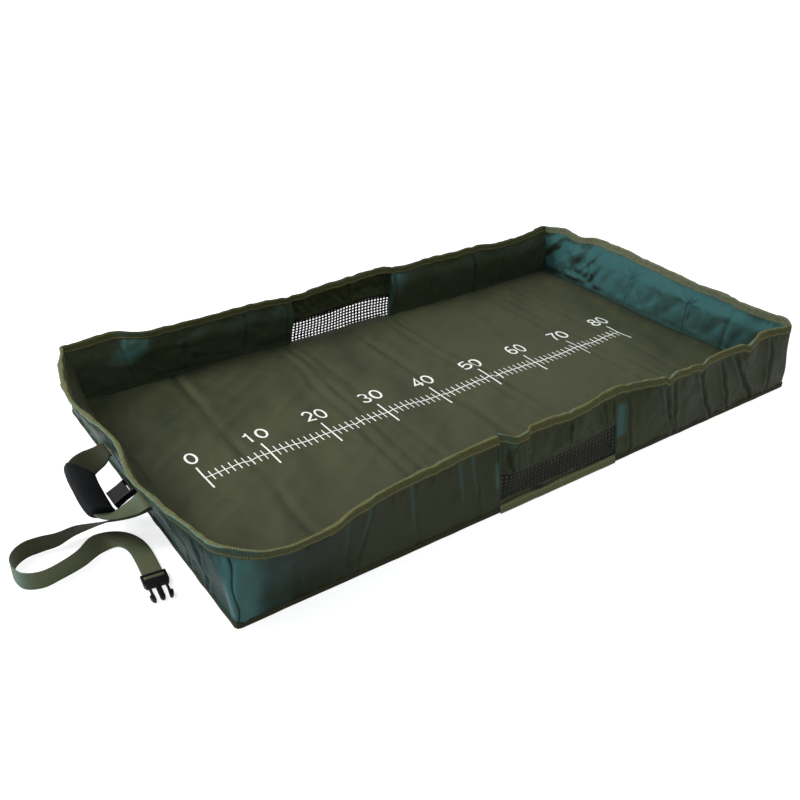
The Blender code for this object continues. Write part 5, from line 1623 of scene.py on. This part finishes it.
def sleeve(frames, mat):
    """The grip's sleeve, swelling from its two ends."""
    low, high = (int(round(s * (len(frames[0]) - 1))) for s in SLEEVE_SHARES)
    share = np.linspace(0, 1, high - low + 1)
    swell = np.sqrt(1 - (1 - np.clip(np.minimum(share, 1 - share) / 0.10, 0, 1)) ** 2)
    part = tuple(f[low:high + 1] for f in frames)
    obj, _ = band("grip_cover", [part], sleeve_section(), mat, 0.0, 0.40 + 0.60 * swell, 0.88 + 0.12 * swell)
    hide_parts("grip_sleeve")
    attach(obj, "carry_handle")


# Scene

SKY = (0.92, 0.96, 1.0, 1)
SKY_POWER = 0.60
# Name, place, size and power
LAMPS = (("key", (-1.7, 0.7, 1.5), 0.8, 32), ("fill", (0.6, -1.7, 1.5), 1.4, 9))
LAMP_AIM = Vector((0, 0, 0.05))
GROUND_REACH = 12
GROUND_Z = -0.0002
GROUND_GREY = (0.60, 0.60, 0.60)
GROUND_GLOW = 0.74


def build_camera():
    data = bpy.data.cameras.new("camera")
    data.lens = CAMERA_LENS
    data.sensor_width = SENSOR
    data.clip_start, data.clip_end = 0.05, 50
    cam = link_object("camera", data)
    axes = Matrix((CAMERA_RIGHT, CAMERA_UP, CAMERA_BACK)).transposed().to_4x4()
    cam.matrix_world = Matrix.Translation(CAMERA_PLACE) @ axes
    bpy.context.scene.camera = cam


def seen(tree):
    """1 for rays that come from the camera straight, by a mirror or through glass."""
    rays = node(tree, "ShaderNodeLightPath").outputs
    camera, glossy, through = (Value(tree, rays[f"Is {kind} Ray"]) for kind in ("Camera", "Glossy", "Transmission"))
    return camera.largest(glossy.largest(through))


def mix_shaders(tree, end, unseen, shown):
    """Joins one shader to the tree's output for rays that light the scene, and another for rays that see it."""
    inputs = {0: seen(tree), 1: Value(tree, unseen.outputs[0]), 2: Value(tree, shown.outputs[0])}
    put(tree, end.inputs[0], Value(tree, node(tree, "ShaderNodeMixShader", inputs).outputs[0]))


def build_light():
    world = bpy.data.worlds.new("world")
    bpy.context.scene.world = world
    world.use_nodes = True
    tree = world.node_tree
    back = tree.nodes["Background"]
    back.inputs["Color"].default_value = SKY
    back.inputs["Strength"].default_value = SKY_POWER
    white = node(tree, "ShaderNodeBackground", {"Color": (1, 1, 1, 1), "Strength": 1.0})
    mix_shaders(tree, tree.nodes["World Output"], back, white)
    for name, place, size, power in LAMPS:
        data = bpy.data.lights.new(name, "AREA")
        data.size = size
        data.energy = power
        lamp = link_object(name, data)
        lamp.location = place
        lamp.rotation_euler = (LAMP_AIM - Vector(place)).to_track_quat("-Z", "Y").to_euler()


def build_ground():
    r = GROUND_REACH
    mesh = bpy.data.meshes.new("ground")
    mesh.from_pydata([(-r, -r, 0), (r, -r, 0), (r, r, 0), (-r, r, 0)], [], [(0, 1, 2, 3)])
    look = Look("ground_white", GROUND_GREY, 0.9, 0.0)
    glow = node(look.tree, "ShaderNodeEmission", {"Color": (1, 1, 1, 1), "Strength": GROUND_GLOW})
    shaders = {k: Value(look.tree, made.outputs[0]) for k, made in enumerate((look.shader, glow))}
    lit = node(look.tree, "ShaderNodeAddShader", shaders)
    mix_shaders(look.tree, look.tree.nodes["Material Output"], look.shader, lit)
    ground = link_object("ground", mesh, look.mat)
    ground.location.z = GROUND_Z


def main():
    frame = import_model()
    bpy.context.scene.view_settings.view_transform = "Standard"
    build_camera()
    mats = {
        "floor": fabric_material("floor_nylon", FLOOR_OLIVE, FLOOR_DARK, 0.55, 0.10, 0.03),
        "wall": fabric_material("wall_nylon", WALL_GREEN, WALL_TEAL, 0.36, 0.045, 0.012),
        "tape": tape_material("rim_tape", TAPE_OLIVE, TAPE_SAGE, TAPE_SIDE, TAPE_SIDE_TEAL, 0.0118, 0.0004, THREAD),
        "foot": tape_material("foot_tape", FOOT_OLIVE, FOOT_SAGE, FOOT_OLIVE, FOOT_SAGE, 0.0040, 0.0030, FOOT_THREAD),
        "light_tape": tape_material(
            "light_foot_tape", LIGHT_OLIVE, TAPE_SAGE, LIGHT_OLIVE, TAPE_SAGE, 0.0052, 0.0040, THREAD,
        ),
        "web": webbing_material("webbing"),
        "patch": webbing_material("webbing_sewn", True),
        "rubber": rubber_material(),
        "plastic": plastic_material(),
        "net": net_material(),
        "print": print_material(),
    }
    strap(mats)
    handles(mats)
    for end in END_NAMES:
        tray_walls(end, mats["wall"])
        tray_tapes(end, mats)
    for end in END_NAMES:
        floor_half(end, mats["floor"])
    ruler(mats["print"])
    for side in SIDE_NAMES:
        mid_side(side, mats)
    for name, obj in frame["nodes"].items():
        if not obj.hide_render:
            obj.data.materials.clear()
            obj.data.materials.append(mats["plastic" if name.startswith(("buckle", "latch")) else "patch"])
    build_light()
    build_ground()


main()
